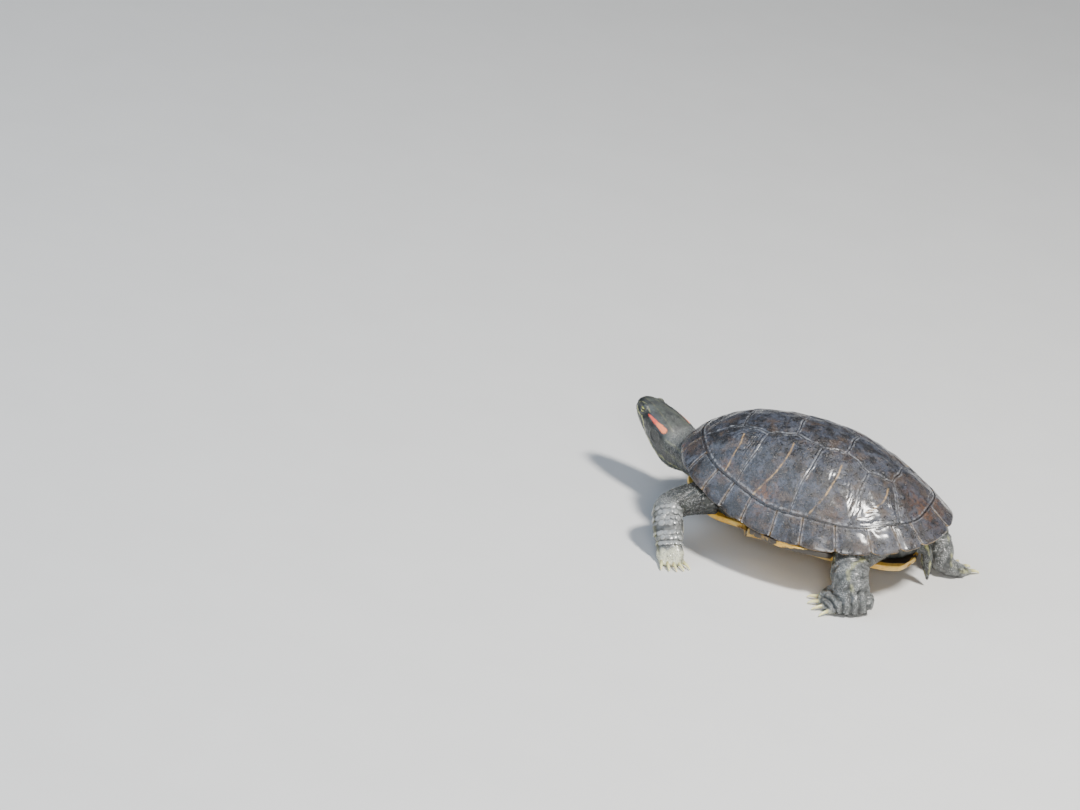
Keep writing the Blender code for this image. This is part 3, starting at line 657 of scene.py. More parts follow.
@dataclass(frozen=True)
class ShellForm:
    """The upper shell's outside as a rim and a dome over it. Angle 0 is the front, 90 degrees its left."""

    length: float = SHELL_LENGTH
    width: float = 157.1
    top: float = 94.7
    rim_front: float = 56.0
    rim_side: float = 36.9
    rim_rear: float = 49.1
    taper: float = -0.071
    roundness: float = 0.884
    crown_y: float = -11.9
    front_powers: Pair = (2.443, 0.816)
    side_powers: Pair = (2.135, 0.87)
    rear_powers: Pair = (2.093, 1.097)
    wall: float = 4.5
    lip: float = 2.7
    notch: float = 1.5

    def rim(self, angle: Array) -> Array:
        """Points of the rim."""
        c, s = np.cos(angle), np.sin(angle)
        x = 0.5 * self.width * np.sign(s) * np.abs(s) ** self.roundness * (1.0 + self.taper * c)
        end = np.where(c > 0.0, self.rim_front, self.rim_rear)
        return np.stack([x, -0.5 * self.length * c, self.rim_side + (end - self.rim_side) * c * c], axis=-1)

    def dome(self, angle: Array, share: Array) -> Array:
        """Points of the outside: share 0 is the crown and 1 the rim."""
        angle, share = np.broadcast_arrays(np.asarray(angle, float), np.asarray(share, float))
        c = np.cos(angle)
        front, rear = np.maximum(c, 0.0) ** 2, np.maximum(-c, 0.0) ** 2
        side = 1.0 - front - rear
        n, m = (
            front * self.front_powers[i] + side * self.side_powers[i] + rear * self.rear_powers[i]
            for i in range(2)
        )
        edge = self.rim(angle)
        rise = np.maximum(0.0, 1.0 - share**n) ** m
        y = self.crown_y + (edge[..., 1] - self.crown_y) * share
        return np.stack([edge[..., 0] * share, y, edge[..., 2] + (self.top - edge[..., 2]) * rise], axis=-1)

    def normal(self, angle: Array, share: Array) -> Array:
        """Normals of the outside."""
        share = np.clip(share, 0.02, 0.965)
        step = 1e-3
        around = self.dome(angle + step, share) - self.dome(angle - step, share)
        outward = self.dome(angle, share + step) - self.dome(angle, share - step)
        found = unit(np.cross(outward, around))
        return found * np.where(found[..., 2:] < 0.0, -1.0, 1.0)

    def polar(self, x: Array, y: Array) -> tuple[Array, Array]:
        """The angle and share of a place seen from above."""
        table = np.linspace(-math.pi, math.pi, 4001)
        rim = self.rim(table)
        bearing = np.unwrap(np.arctan2(rim[:, 0], self.crown_y - rim[:, 1]))
        angle = np.interp(np.arctan2(x, self.crown_y - y), bearing, table)
        edge = self.rim(angle)
        return angle, np.hypot(x, y - self.crown_y) / np.hypot(edge[..., 0], edge[..., 1] - self.crown_y)

    def over(self, x: Array, y: Array) -> Array:
        """Points of the outside straight over a place."""
        angle, share = self.polar(x, y)
        return np.stack([x, y, self.dome(angle, share)[..., 2]], axis=-1)

    def below(self, angle: Array, share: Array, depth: Array | float) -> Array:
        """Points under the outside by a depth."""
        return self.dome(angle, share) - self.normal(angle, share) * depth

    def drawn_in(self, across: Array, rear: Array) -> Array:
        """How far the rim draws in at a seam, more at the rear, as a share of the radius."""
        return self.notch / 90.0 * rear * (1.0 - smooth_step(across / 4.5)) ** 1.5

    def rim_angle(self, share: Array | float) -> Array:
        """The angle at a share of the shell's length from front to rear."""
        return np.arccos(np.clip(1.0 - 2.0 * np.asarray(share, float), -1.0, 1.0))

    def seam_share(self, angle: Array) -> Array:
        """Where the seam between the rim plates and the inner plates runs."""
        return 0.862 + 0.006 * np.cos(9.0 * angle) - 0.008 * np.cos(2.0 * angle)

    def ceiling(self, x: Array, y: Array) -> Array:
        """The height of the shell's inside over a place; very high outside the rim."""
        angle, share = self.polar(x, y)
        inner = np.minimum(share, 0.985)
        steep = 1.0 / np.maximum(self.normal(angle, inner)[..., 2], 0.35)
        wall = np.where(share > 0.93, self.lip, self.wall)
        return np.where(share < 1.0, self.dome(angle, inner)[..., 2] - wall * steep, NO_SHELL)


@dataclass(frozen=True)
class PlateStyle:
    """How a horny plate meets its seams and shows its yearly growth."""

    gap: float = 0.07
    bevel: float = 0.4
    sunk: float = 0.42
    pillow: float = 0.50
    pillow_reach: float = 7.0
    lip: float = 0.24
    ring_depth: float = 0.17
    rings: int = 6
    near: tuple[float, ...] = (0.0, 0.18, 0.36, 0.6, 0.95, 1.4)

    def height(self, inside: Array, share: Array, points: Array) -> Array:
        """The relief of a plate over the smooth shell.

        Args:
            inside: millimetres in from the seam.
            share: 0 at the seam and 1 at the plate's oldest spot.
            points: places, for wander.

        Returns:
            The height of each place.
        """
        seam = -self.sunk * (1.0 - smooth_step(inside / self.bevel))
        pillow = self.pillow * (smooth_step(inside / self.pillow_reach) - 1.0)
        phase = self.growth(share, points)
        groove = creases(phase, 0.20)
        strength = 0.40 + 0.55 * wave_noise(points, 30.0, 8) + 0.3 * wave_noise(points, 9.0, 9)
        strength = np.clip(strength, 0.0, 1.0)
        shoulder = np.hypot(np.abs(points[..., 0]) - 32.0, points[..., 1] + 54.0) / 15.0
        strength = strength + 1.3 * hump(shoulder, 0.0, 1.0)
        # The growth rings wear away towards the plate's oldest spot.
        wear_and_glint = falling(share, 0.72, 0.2)
        rings = -self.ring_depth * groove * strength * wear_and_glint * smooth_step(inside / 1.2)
        swell = 0.24 * wave_noise(points, 16.0, 21) + 0.05 * wave_noise(points, 5.5, 22)
        lip = self.lip * hump(inside, 1.25, 0.62) * np.clip(0.6 + 0.6 * wave_noise(points, 5.0, 23), 0.0, 1.2)
        return seam + pillow + rings + lip + swell * smooth_step(inside / 3.0)

    def growth(self, share: Array, points: Array) -> Array:
        """Which ring a place is in, counted from the seam."""
        return share * self.rings + 0.35 * wave_noise(points, 22.0, 5) + 0.12 * wave_noise(points, 7.0, 6)

    def steps(self, reach: float, pitch: float) -> Array:
        """Distances in from the seam: close at the bevel and then at the pitch."""
        edge = self.near[-1]
        count = max(2, int((reach - edge) / pitch))
        return np.concatenate([self.near, np.linspace(edge, reach, count + 1)[1:]])


@dataclass
class Carapace:
    """The upper shell: a dark body, and the plates on it with open seams between."""

    form: ShellForm
    style: PlateStyle = PlateStyle()
    finish: ShellFinish = ShellFinish()
    rim_seams: tuple[float, ...] = (
        0.0006, 0.02, 0.075, 0.155, 0.24, 0.33, 0.45, 0.56, 0.69, 0.81, 0.90, 0.957, 1.0,
    )
    # Seams across the middle row: share of the length, and half width as a share of it.
    middle_seams: tuple[Pair, ...] = (
        (0.215, 0.085), (0.41, 0.09), (0.60, 0.088), (0.78, 0.073),
    )
    # Corners of the middle row, where the seams between the side plates start, and their feet.
    middle_corners: tuple[Pair, ...] = ((0.318, 0.118), (0.518, 0.12), (0.695, 0.115))
    seam_feet: tuple[float, ...] = (0.272, 0.492, 0.702, 0.862)
    front_half: float = 0.10
    keel: float = 1.1
    # Tan bars down the side plates, as places across and along the shell.
    bars: tuple[tuple[Pair, ...], ...] = (
        ((26.2, -53.6), (33.5, -53.2), (39.8, -54.4), (45.5, -55.2), (50.1, -56.6)),
        ((27.7, -16.8), (35.0, -16.6), (41.8, -17.7), (47.5, -19.6), (54.5, -23.5), (64.2, -32.6)),
        ((31.0, 20.7), (38.5, 21.2), (45.1, 20.4), (55.1, 18.2), (62.0, 14.6), (69.5, 10.1)),
        ((24.0, 55.5), (34.0, 56.5), (44.0, 53.0), (51.0, 48.0)),
    )
    # Rusty clouds: place across, along, reach and strength.
    clouds: Rows = (
        (62.0, -23.0, 8.0, 1.0), (49.0, -57.0, 5.0, 0.7), (12.0, 80.0, 12.0, 1.0), (60.0, 30.0, 8.0, 0.35),
        (-30.0, 70.0, 9.0, 0.7), (-60.0, -12.0, 9.0, 0.8), (-48.0, 24.0, 8.0, 0.5), (20.0, 20.0, 7.0, 0.3),
    )
    outline_pitch: float = 1.25
    rim_pitch: float = 0.85
    ring_pitch: float = 0.62
    # How thick the horn over the bone is, and what stands for a place with no bar near it.
    horn: float = 0.6
    no_bar: float = 9.0

    def spot(self, along: float, across: float) -> Array:
        """A seam corner from its shares of the length."""
        return np.array([across * self.form.length, (along - 0.5) * self.form.length])

    def straight(self, start: Array, end: Array) -> Array:
        """A seam from corner to corner, with the slight bend that both its plates share."""
        first, last = sorted((tuple(start), tuple(end)))
        ends = np.array([first, last])
        t = np.linspace(0.0, 1.0, 24)[:, None]
        across = unit((ends[1] - ends[0])[::-1] * np.array([-1.0, 1.0]))
        bend = np.sin(math.pi * t) * np.sin(2.0 * math.pi * t + ends.sum())
        line = ends[0] + (ends[1] - ends[0]) * t + across * 0.8 * bend
        return line if first == tuple(start) else line[::-1]

    def rim_line(self, start: float, end: float) -> Array:
        """The seam along the rim plates between two angles."""
        angle = np.linspace(start, end, 80)
        return self.form.dome(angle, self.form.seam_share(angle))[:, :2]

    def foot_angle(self, along: float) -> float:
        """The angle where the seam along the rim plates is at a share of the length."""
        table = np.linspace(0.0, math.pi, 2001)
        y = self.form.dome(table, self.form.seam_share(table))[:, 1]
        return float(np.interp((along - 0.5) * self.form.length, y, table))

    def front_angle(self) -> float:
        """The angle of the first middle plate's front corner."""
        table = np.linspace(0.0, 0.5 * math.pi, 2001)
        x = self.form.dome(table, self.form.seam_share(table))[:, 0]
        return float(np.interp(self.front_half * self.form.length, x, table))

    def ring_plate(self, edges: list[Array], oldest: Pair) -> Surface:
        """A plate grown outwards in rings round its oldest spot, closed underneath.

        Args:
            edges: the seams round it, end to end, seen from above.
            oldest: how far the oldest spot lies from the middle, in millimetres.

        Returns:
            The plate.
        """
        loop = []
        for edge in edges:
            lengths = run_along(edge)
            count = max(3, round(lengths[-1] / self.outline_pitch))
            places = np.linspace(0.0, lengths[-1], count + 1)[:-1]
            loop.append(np.stack([np.interp(places, lengths, edge[:, axis]) for axis in range(2)], axis=1))
        loop = np.vstack(loop)
        centre = loop.mean(0) + np.array(oldest)
        inward = unit(centre - loop)
        radius = np.linalg.norm(centre - loop, axis=1)
        steps = self.style.steps(float(radius.max()), self.ring_pitch)
        near = steps <= self.style.near[-1]
        rows = [loop + inward * (self.style.gap + step) for step in steps[near]]
        start = rows[-1]
        shares = np.linspace(0.0, 0.97, int((~near).sum()) + 1)[1:]
        rows += [start + (centre - start) * g for g in shares]
        plan = np.array(rows)
        base = self.form.over(plan[..., 0], plan[..., 1])
        distance = np.linalg.norm(plan - loop, axis=-1) - self.style.gap
        part = np.clip(distance / radius, 0.0, 1.0)
        normals = grid_normals(base)
        normals *= np.where(normals[..., 2:] < 0.0, -1.0, 1.0)
        height = self.style.height(distance, part, base) + self.keel_height(base)
        top = base + normals * height[..., None]
        under = [base[0] + (np.append(centre, base[-1, :, 2].mean()) - base[0]) * g for g in (0.9, 0.5, 0.15)]
        below = []
        for ring in under:
            place = self.form.over(ring[:, 0], ring[:, 1])
            below.append(place - np.array([0.0, 0.0, self.style.sunk + 0.5]))
        grid = np.concatenate([np.array(below), top])
        kept = {
            "seam": (distance, 0.0),
            "growth": (self.style.growth(part, base), 0.0),
            "bar": (self.bar_distance(base), self.no_bar),
            "rust": (self.rust(base), 0.0),
        }
        values = {
            name: np.concatenate([np.full((len(below), len(loop)), fill), value])
            for name, (value, fill) in kept.items()
        }
        return Surface.tube(grid, values)

    def keel_height(self, points: Array) -> Array:
        """The low knobbed ridge along the middle."""
        seams = np.array([seam[0] for seam in self.middle_seams])
        along = points[..., 1] / self.form.length + 0.5
        since = np.min(np.where(seams - along[..., None] > 0.0, seams - along[..., None], 0.18), axis=-1)
        knob = 0.45 + 0.55 * hump(since, 0.05, 0.06)
        strength = rising(along, 0.12, 0.1) * falling(along, 0.86, 0.08)
        return self.keel * knob * strength * hump(points[..., 0], 0.0, 4.2)

    def bar_distance(self, points: Array) -> Array:
        """How far each place is from the nearest tan bar, on either side of the body."""
        folded = np.stack([np.abs(points[..., 0]), points[..., 1]], axis=-1)
        return np.min([line_distance(folded, smooth_path(np.array(bar), 4)) for bar in self.bars], axis=0)

    def rust(self, points: Array) -> Array:
        """How rusty each place is."""
        total = np.zeros(points.shape[:-1])
        for x, y, reach, strength in self.clouds:
            away = np.hypot(points[..., 0] - x, points[..., 1] - y)
            total += strength * hump(away, 0.0, reach)
        return np.clip(total, 0.0, 1.0)

    def foot(self, angle: float) -> Array:
        """Where a seam meets the rim plates, at an angle."""
        return self.rim_line(angle, angle + 1e-3)[0]

    def outline(self, *corners: Array) -> list[Array]:
        """The seams from corner to corner."""
        return [self.straight(start, end) for start, end in zip(corners, corners[1:])]

    def inner_corners(self) -> tuple[list[Array], list[Array]]:
        """The left ends of the middle row's cross seams, and its corners between them."""
        rows = (self.middle_seams, self.middle_corners)
        ends, corners = ([self.spot(*shares) for shares in row] for row in rows)
        return ends, corners

    def middle_plates(self) -> list[Surface]:
        """The five plates along the back."""
        left, corners = self.inner_corners()
        flip = np.array([-1.0, 1.0])
        front, rear = self.front_angle(), self.foot_angle(self.seam_feet[3])
        first, foot, last = self.foot(front), self.foot(rear), left[3]
        edges = [self.rim_line(-front, front), *self.outline(first, left[0], left[0] * flip, first * flip)]
        plates = [self.ring_plate(edges, (0.0, 5.0))]
        for a, b, c in zip(left, corners, left[1:]):
            edges = self.outline(a * flip, a, b, c, c * flip, b * flip, a * flip)
            plates.append(self.ring_plate(edges, (0.0, 7.0)))
        edges = [
            *self.outline(last * flip, last, foot), self.rim_line(rear, 2.0 * math.pi - rear),
            *self.outline(foot * flip, last * flip),
        ]
        return plates + [self.ring_plate(edges, (0.0, -3.0))]

    def side_plates(self) -> list[Surface]:
        """The four plates down each side."""
        left, corners = self.inner_corners()
        front = self.front_angle()
        angles = [self.foot_angle(foot) for foot in self.seam_feet]
        feet = [self.foot(angle) for angle in angles]
        inner = self.outline(feet[0], corners[0], left[0], self.foot(front))
        plates = [self.ring_plate([self.rim_line(front, angles[0]), *inner], (-4.0, 7.0))]
        for i in range(3):
            inner = (feet[3], left[3]) if i == 2 else (feet[i + 1], corners[i + 1], left[i + 1])
            edges = [
                self.straight(corners[i], feet[i]), self.rim_line(angles[i], angles[i + 1]),
                *self.outline(*inner, corners[i]),
            ]
            plates.append(self.ring_plate(edges, (-4.0, 4.0) if i == 2 else (-9.0, 4.0)))
        return plates + [plate.mirrored() for plate in plates]

    def rim_plate(self, start: float, end: float) -> Surface:
        """One plate that wraps the rim between two angles, closed all round.

        Args:
            start: its front seam's angle.
            end: its rear seam's angle.

        Returns:
            The plate.
        """
        form, style = self.form, self.style
        middle = 0.5 * (start + end)
        step = 1e-3
        width = float(np.linalg.norm(form.rim(middle + step) - form.rim(middle - step))) / (2.0 * step)
        width *= end - start
        near = np.array(style.near[:-1])
        count = max(3, round((width - 2.0 * near[-1]) / self.rim_pitch))
        inner = np.linspace(near[-1], width - near[-1], count + 1)
        places = np.concatenate([near, inner[1:-1], width - near[::-1]])
        across = np.minimum(places, width - places)
        angle = start + (end - start) * (style.gap + places * (width - 2.0 * style.gap) / width) / width
        edge_run = np.linalg.norm((form.rim(angle) - np.array([0.0, form.crown_y, 0.0]))[:, :2], axis=1)
        first = form.seam_share(angle) + style.gap / edge_run
        run = (1.0 - first) * edge_run * 1.2
        top_steps = (
            0.0, 0.02, 0.04, 0.065, 0.1, 0.15, 0.22, 0.3, 0.38, 0.46, 0.54, 0.62, 0.7, 0.78, 0.86, 0.93, 1.0,
        )
        rear = np.maximum(-np.cos(angle), 0.0)
        inset = form.drawn_in(across, rear)
        grid, inside, under = [], [], []
        for step in top_steps:
            share = (first + (1.0 - first) * step) * (1.0 - inset * step**4)
            grid.append(form.dome(angle, share))
            inside.append(np.minimum(across, run * step))
            under.append(np.zeros_like(angle))
        edge = 1.0 - inset
        rim = form.dome(angle, edge)
        normal = form.normal(angle, edge)
        outward = unit(normal * np.array([1.0, 1.0, 0.0]))
        below = rim - normal * form.lip
        for turn in np.linspace(0.0, 1.0, 8)[1:]:
            bulge = 0.8 * math.sin(math.pi * turn)
            grid.append(rim + (below - rim) * turn + outward * bulge)
            inside.append(across)
            under.append(np.full_like(angle, 0.55 * turn))
        for step in np.linspace(0.0, 1.0, 12)[1:]:
            share = edge + (first - edge) * step
            depth = form.lip + (form.wall - form.lip) * step
            grid.append(form.below(angle, share, depth))
            inside.append(np.minimum(across, run * (1.0 - step)))
            under.append(np.full_like(angle, 0.55 + 0.45 * step))
        grid, inside, under = (np.array(value).swapaxes(0, 1) for value in (grid, inside, under))
        normals = grid_normals(grid)
        middle_of_section = grid.mean(axis=1, keepdims=True)
        sign = np.sign(np.sum(normals * (grid - middle_of_section), axis=(1, 2), keepdims=True))
        part = np.clip(inside / (0.5 * run[:, None]), 0.0, 1.0)
        height = style.height(inside, part, grid) * (1.0 - 0.35 * under)
        wrinkle = 0.16 * np.sin(inside * 3.6 + wave_noise(grid, 12.0, 31)) * smooth_step(inside / 1.5)
        wrinkle *= np.clip(wave_noise(grid, 46.0, 33), 0.0, 1.0) * (1.0 - under)
        top = grid + normals * sign * (height + wrinkle)[..., None]
        by_seam = 0.22 * hump(across, 0.0, 0.9)[:, None]
        values = {
            "seam": inside,
            "growth": style.growth(part, grid),
            "bar": np.full(inside.shape, self.no_bar),
            "rust": self.rust(grid),
            "under": under,
            "edging": np.maximum(hump(under, 0.30, 0.12), by_seam * hump(under, 0.1, 0.2)),
        }
        return Surface.tube(top, values)

    def rim_plates(self) -> list[Surface]:
        """The neck plate and twelve rim plates a side."""
        angles = [float(self.form.rim_angle(seam)) for seam in self.rim_seams]
        left = [self.rim_plate(start, end) for start, end in zip(angles, angles[1:])]
        return [self.rim_plate(-angles[0], angles[0])] + left + [plate.mirrored() for plate in left]

    def body(self) -> Surface:
        """The bony shell under the plates, which shows as the floor of their seams."""
        angle = np.linspace(-math.pi, math.pi, 181)[:-1]
        shares = np.sin(0.5 * math.pi * np.linspace(0.02, 1.0, 40)) * 0.985
        form, skin = self.form, self.horn
        grid = [form.below(angle, share, skin) for share in shares]
        for share in shares[::-1]:
            thinner = (form.wall - form.lip) * rising(share, 0.85, 0.15)
            grid.append(form.below(angle, share, form.wall - skin - thinner))
        seam = np.zeros((len(grid), len(angle)))
        values = {"seam": seam, "bar": seam + self.no_bar, "growth": seam, "rust": seam}
        return Surface.tube(np.array(grid), values)

    def build(self) -> list[Object]:
        """Makes the body and the three sets of plates."""
        material = self.finish.material()
        made = [add_piece("shell_body", self.body().mesh("shell_body"), material, ("carapace",))]
        sets = (
            ("middle_plates", self.middle_plates()),
            ("side_plates", self.side_plates()),
            ("rim_plates", self.rim_plates()),
        )
        for name, plates in sets:
            made.append(add_piece(name, Surface.joined(plates).mesh(name), material))
        return made


# ---------------------------------------------------------------- lower shell


@dataclass
class Plastron:
    """The lower shell: a thick yellow sheet that turns up into the bridges, with thin plates below."""

    form: ShellForm
    style: PlateStyle = PlateStyle(gap=0.12, bevel=0.5, sunk=0.35, pillow=0.15, ring_depth=0.05, rings=6)
    finish: UnderShellFinish = UnderShellFinish()
    level: float = 19.0
    wall: float = 4.0
    front_end: float = -90.0
    rear_end: float = 86.0
    bridge: Pair = (-38.0, 46.0)
    bridge_corner: float = 14.0
    bridge_inner: float = 45.0
    lobe_half: float = 39.5
    end_half: float = 17.0
    rim_gap: float = 0.8
    rim_drop: float = 1.2
    front_turn_up: float = 9.0
    rear_turn_up: float = 2.0
    rear_notch: float = 6.0
    # The cross seams: where each meets the middle and the edge.
    seams: tuple[Pair, ...] = (
        (-70.0, -79.0), (-48.0, -44.0), (-12.0, -8.0), (30.0, 34.0), (54.0, 65.0),
    )
    plate_thickness: float = 0.7

    def bridge_share(self, y: Array) -> Array:
        """1 along the bridges and 0 at the lobes."""
        front, rear = self.bridge
        return rising(y, front, self.bridge_corner) * rising(rear, y, self.bridge_corner)

    def half(self, y: Array) -> Array:
        """Half the width at a place along the shell."""
        to_front = (self.bridge[0] - y) / (self.bridge[0] - self.front_end)
        to_rear = (y - self.bridge[1]) / (self.rear_end - self.bridge[1])
        end = np.clip(np.where(y < 0.0, to_front, to_rear), 0.0, 1.0)
        lobe = self.end_half + (self.lobe_half - self.end_half) * np.sqrt(1.0 - end**2.4)
        rim = np.abs(self.form.rim(self.angle(y))[..., 0]) - self.rim_gap
        return lobe + (rim - lobe) * self.bridge_share(y)

    def angle(self, y: Array) -> Array:
        """The rim's angle at a place along the shell."""
        return self.form.rim_angle(0.5 + y / self.form.length)

    def under(self, x: Array, y: Array) -> Array:
        """The height of the sheet's lower face."""
        rim = self.form.rim(self.angle(y))
        rise = rim[..., 2] - self.wall - self.rim_drop - self.level
        run = np.maximum(np.abs(rim[..., 0]) - self.bridge_inner, 1.0)
        climb = rising(np.abs(x), self.bridge_inner, run) ** 0.9
        front = self.front_turn_up * np.clip((-y - 56.0) / 34.0, 0.0, 1.0) ** 1.6
        rear = self.rear_turn_up * np.clip((y - 60.0) / 26.0, 0.0, 1.0) ** 2
        return self.level + front + rear + rise * climb * self.bridge_share(y)

    def place(self, across: Array, y: Array) -> Array:
        """A point of the lower face from a share of the half width and a place along the shell."""
        across, y = np.broadcast_arrays(np.asarray(across, float), np.asarray(y, float))
        x = self.half(y) * across
        notch = self.rear_notch * (1.0 - np.abs(across)) * rising(y, 66.0, 20.0)
        rounded = 5.0 * np.abs(across) ** 4 * rising(np.abs(y), 76.0, 12.0)
        moved = y - notch - np.sign(y) * rounded
        return np.stack([x, moved, self.under(x, moved)], axis=-1)

    def body(self) -> Surface:
        """The sheet, with a rounded edge."""
        y = np.linspace(self.front_end, self.rear_end, 171)
        bulge = 1.1
        across = np.sin(0.5 * math.pi * np.linspace(-1.0, 1.0, 121))
        rows = []
        for place in y:
            low = self.place(across, np.full_like(across, place))
            turn = np.linspace(0.0, math.pi, 9)[1:-1]
            edge = bulge * (1.0 - 0.6 * self.bridge_share(np.array(place)))
            right, left = (
                [
                    corner + np.array([out * math.sin(a), 0.0, 0.5 * self.wall * (1.0 - math.cos(a))])
                    for a in turns
                ]
                for corner, out, turns in ((low[-1], edge, turn), (low[0], -edge, turn[::-1]))
            )
            rows.append(np.vstack([low, right, low[::-1] + np.array([0.0, 0.0, self.wall]), left]))
        grid = np.array(rows)
        for end, sign in ((0, -1.0), (-1, 1.0)):
            middle = grid[end].mean(axis=0)
            caps = []
            for turn in (30.0, 60.0, 85.0):
                turn = math.radians(turn)
                squeeze = grid[end].copy()
                low, high = self.sheet_heights(squeeze)
                centre = 0.5 * (low + high)
                squeeze[:, 2] = centre + (squeeze[:, 2] - centre) * math.cos(turn)
                squeeze[:, 0] += (middle[0] - squeeze[:, 0]) * 0.02 * (1.0 - math.cos(turn))
                squeeze[:, 1] += sign * bulge * math.sin(turn)
                caps.append(squeeze)
            grid = np.concatenate([np.array(caps)[::-1], grid] if end == 0 else [grid, np.array(caps)])
        x_share = np.abs(grid[..., 0]) / np.maximum(np.abs(grid[..., 0]).max(axis=1, keepdims=True), 1.0)
        blotch = 0.75 * hump(x_share, 0.45, 0.3) * hump(np.mod(grid[..., 1] + 8.0, 38.0), 19.0, 11.0)
        # The outer faces of the bridges go dark: partly the real dark patches, partly painted shadow under
        # the rim of the upper shell.
        outside = smooth_step(2.5 * self.bridge_share(grid[..., 1])) * rising(np.abs(grid[..., 0]), 44.0, 6.0)
        blotch = np.maximum(blotch, outside * (0.62 + 0.4 * wave_noise(grid, 13.0, 77)))
        # The sheet's upper face goes dark inside its yellow edge: painted shade under the upper shell, partly
        # standing for the skin over it.
        column = np.arange(grid.shape[1])
        upper = (column >= len(across) + 7) & (column < 2 * len(across) + 7)
        ends = np.minimum(grid[..., 1] - self.front_end, self.rear_end - grid[..., 1])
        margin = np.minimum(self.half(grid[..., 1]) - np.abs(grid[..., 0]), ends)
        blotch = np.maximum(blotch, 1.2 * upper * rising(margin, 3.0, 4.0))
        seam = np.full(grid.shape[:2], 2.0)
        return Surface.tube(grid, {"blotch": blotch, "seam": seam, "growth": seam * 0.0})

    def sheet_heights(self, row: Array) -> tuple[Array, Array]:
        """The heights of the sheet's two faces under and over each point of a row."""
        y = np.clip(row[:, 1], self.front_end, self.rear_end)
        low = self.under(row[:, 0], y)
        return low, low + self.wall

    def seam_y(self, index: int, across: Array) -> Array:
        """Where a cross seam runs; the first and last are the sheet's own ends."""
        if index < 0:
            return np.full_like(across, self.front_end + 0.3)
        if index >= len(self.seams):
            return np.full_like(across, self.rear_end - 0.3)
        middle, edge = self.seams[index]
        return middle + (edge - middle) * np.abs(across) ** 1.6 + 0.5 * np.sin(6.0 * across + index)

    def plate(self, index: int) -> Surface:
        """One left plate, closed all round, just proud of the sheet's lower face."""
        style = self.style
        close = (0.0, 0.006, 0.014, 0.03)
        t = np.concatenate([close, np.linspace(0.06, 0.94, 38), [0.97, 0.986, 0.994, 1.0]])
        across = (0.004 + 0.972 * t)[:, None]
        y0, y1 = self.seam_y(index - 1, across), self.seam_y(index, across)
        y = y0 + (y1 - y0) * (0.006 + 0.988 * t[None, :])
        low = self.place(np.broadcast_to(across, y.shape), y)
        width = self.half(y)
        inside = np.minimum.reduce([
            (across - 0.004) * width, (0.976 - across) * width, (y - y0) * np.ones_like(y), (y1 - y),
        ])
        inside = np.maximum(inside, 0.0)
        part = np.clip(inside / (0.4 * np.minimum((y1 - y0), width)), 0.0, 1.0)
        height = self.plate_thickness * 0.5 + style.height(inside, part, low)
        outer = low - np.array([0.0, 0.0, 1.0]) * height[..., None]
        inner = low + np.array([0.0, 0.0, self.plate_thickness])
        grid = np.concatenate([outer, inner[:, ::-1]], axis=1)
        centre = low.reshape(-1, 3).mean(0)
        away = np.linalg.norm((low - centre)[..., :2], axis=-1) / 17.0
        blotch = 0.95 * np.exp(-away**2) + 0.15 * wave_noise(low, 9.0, 5 + index)
        kept = {"blotch": blotch, "seam": inside, "growth": style.growth(part, low)}
        values = {name: np.concatenate([value, value[:, ::-1]], axis=1) for name, value in kept.items()}
        return Surface.tube(grid, values)

    def build(self) -> list[Object]:
        """Makes the sheet and its twelve plates."""
        material = self.finish.material()
        body = self.body().mesh("plastron_body")
        sheet = add_piece("plastron_body", body, material, ("plastron",))
        left = [self.plate(index) for index in range(len(self.seams) + 1)]
        plates = Surface.joined(left + [plate.mirrored() for plate in left])
        return [sheet, add_piece("plastron_plates", plates.mesh("plastron_plates"), material)]


# ---------------------------------------------------------------- flesh


Station = tuple[float, float, float, float, float]
Stripe = tuple[Pair, ...]


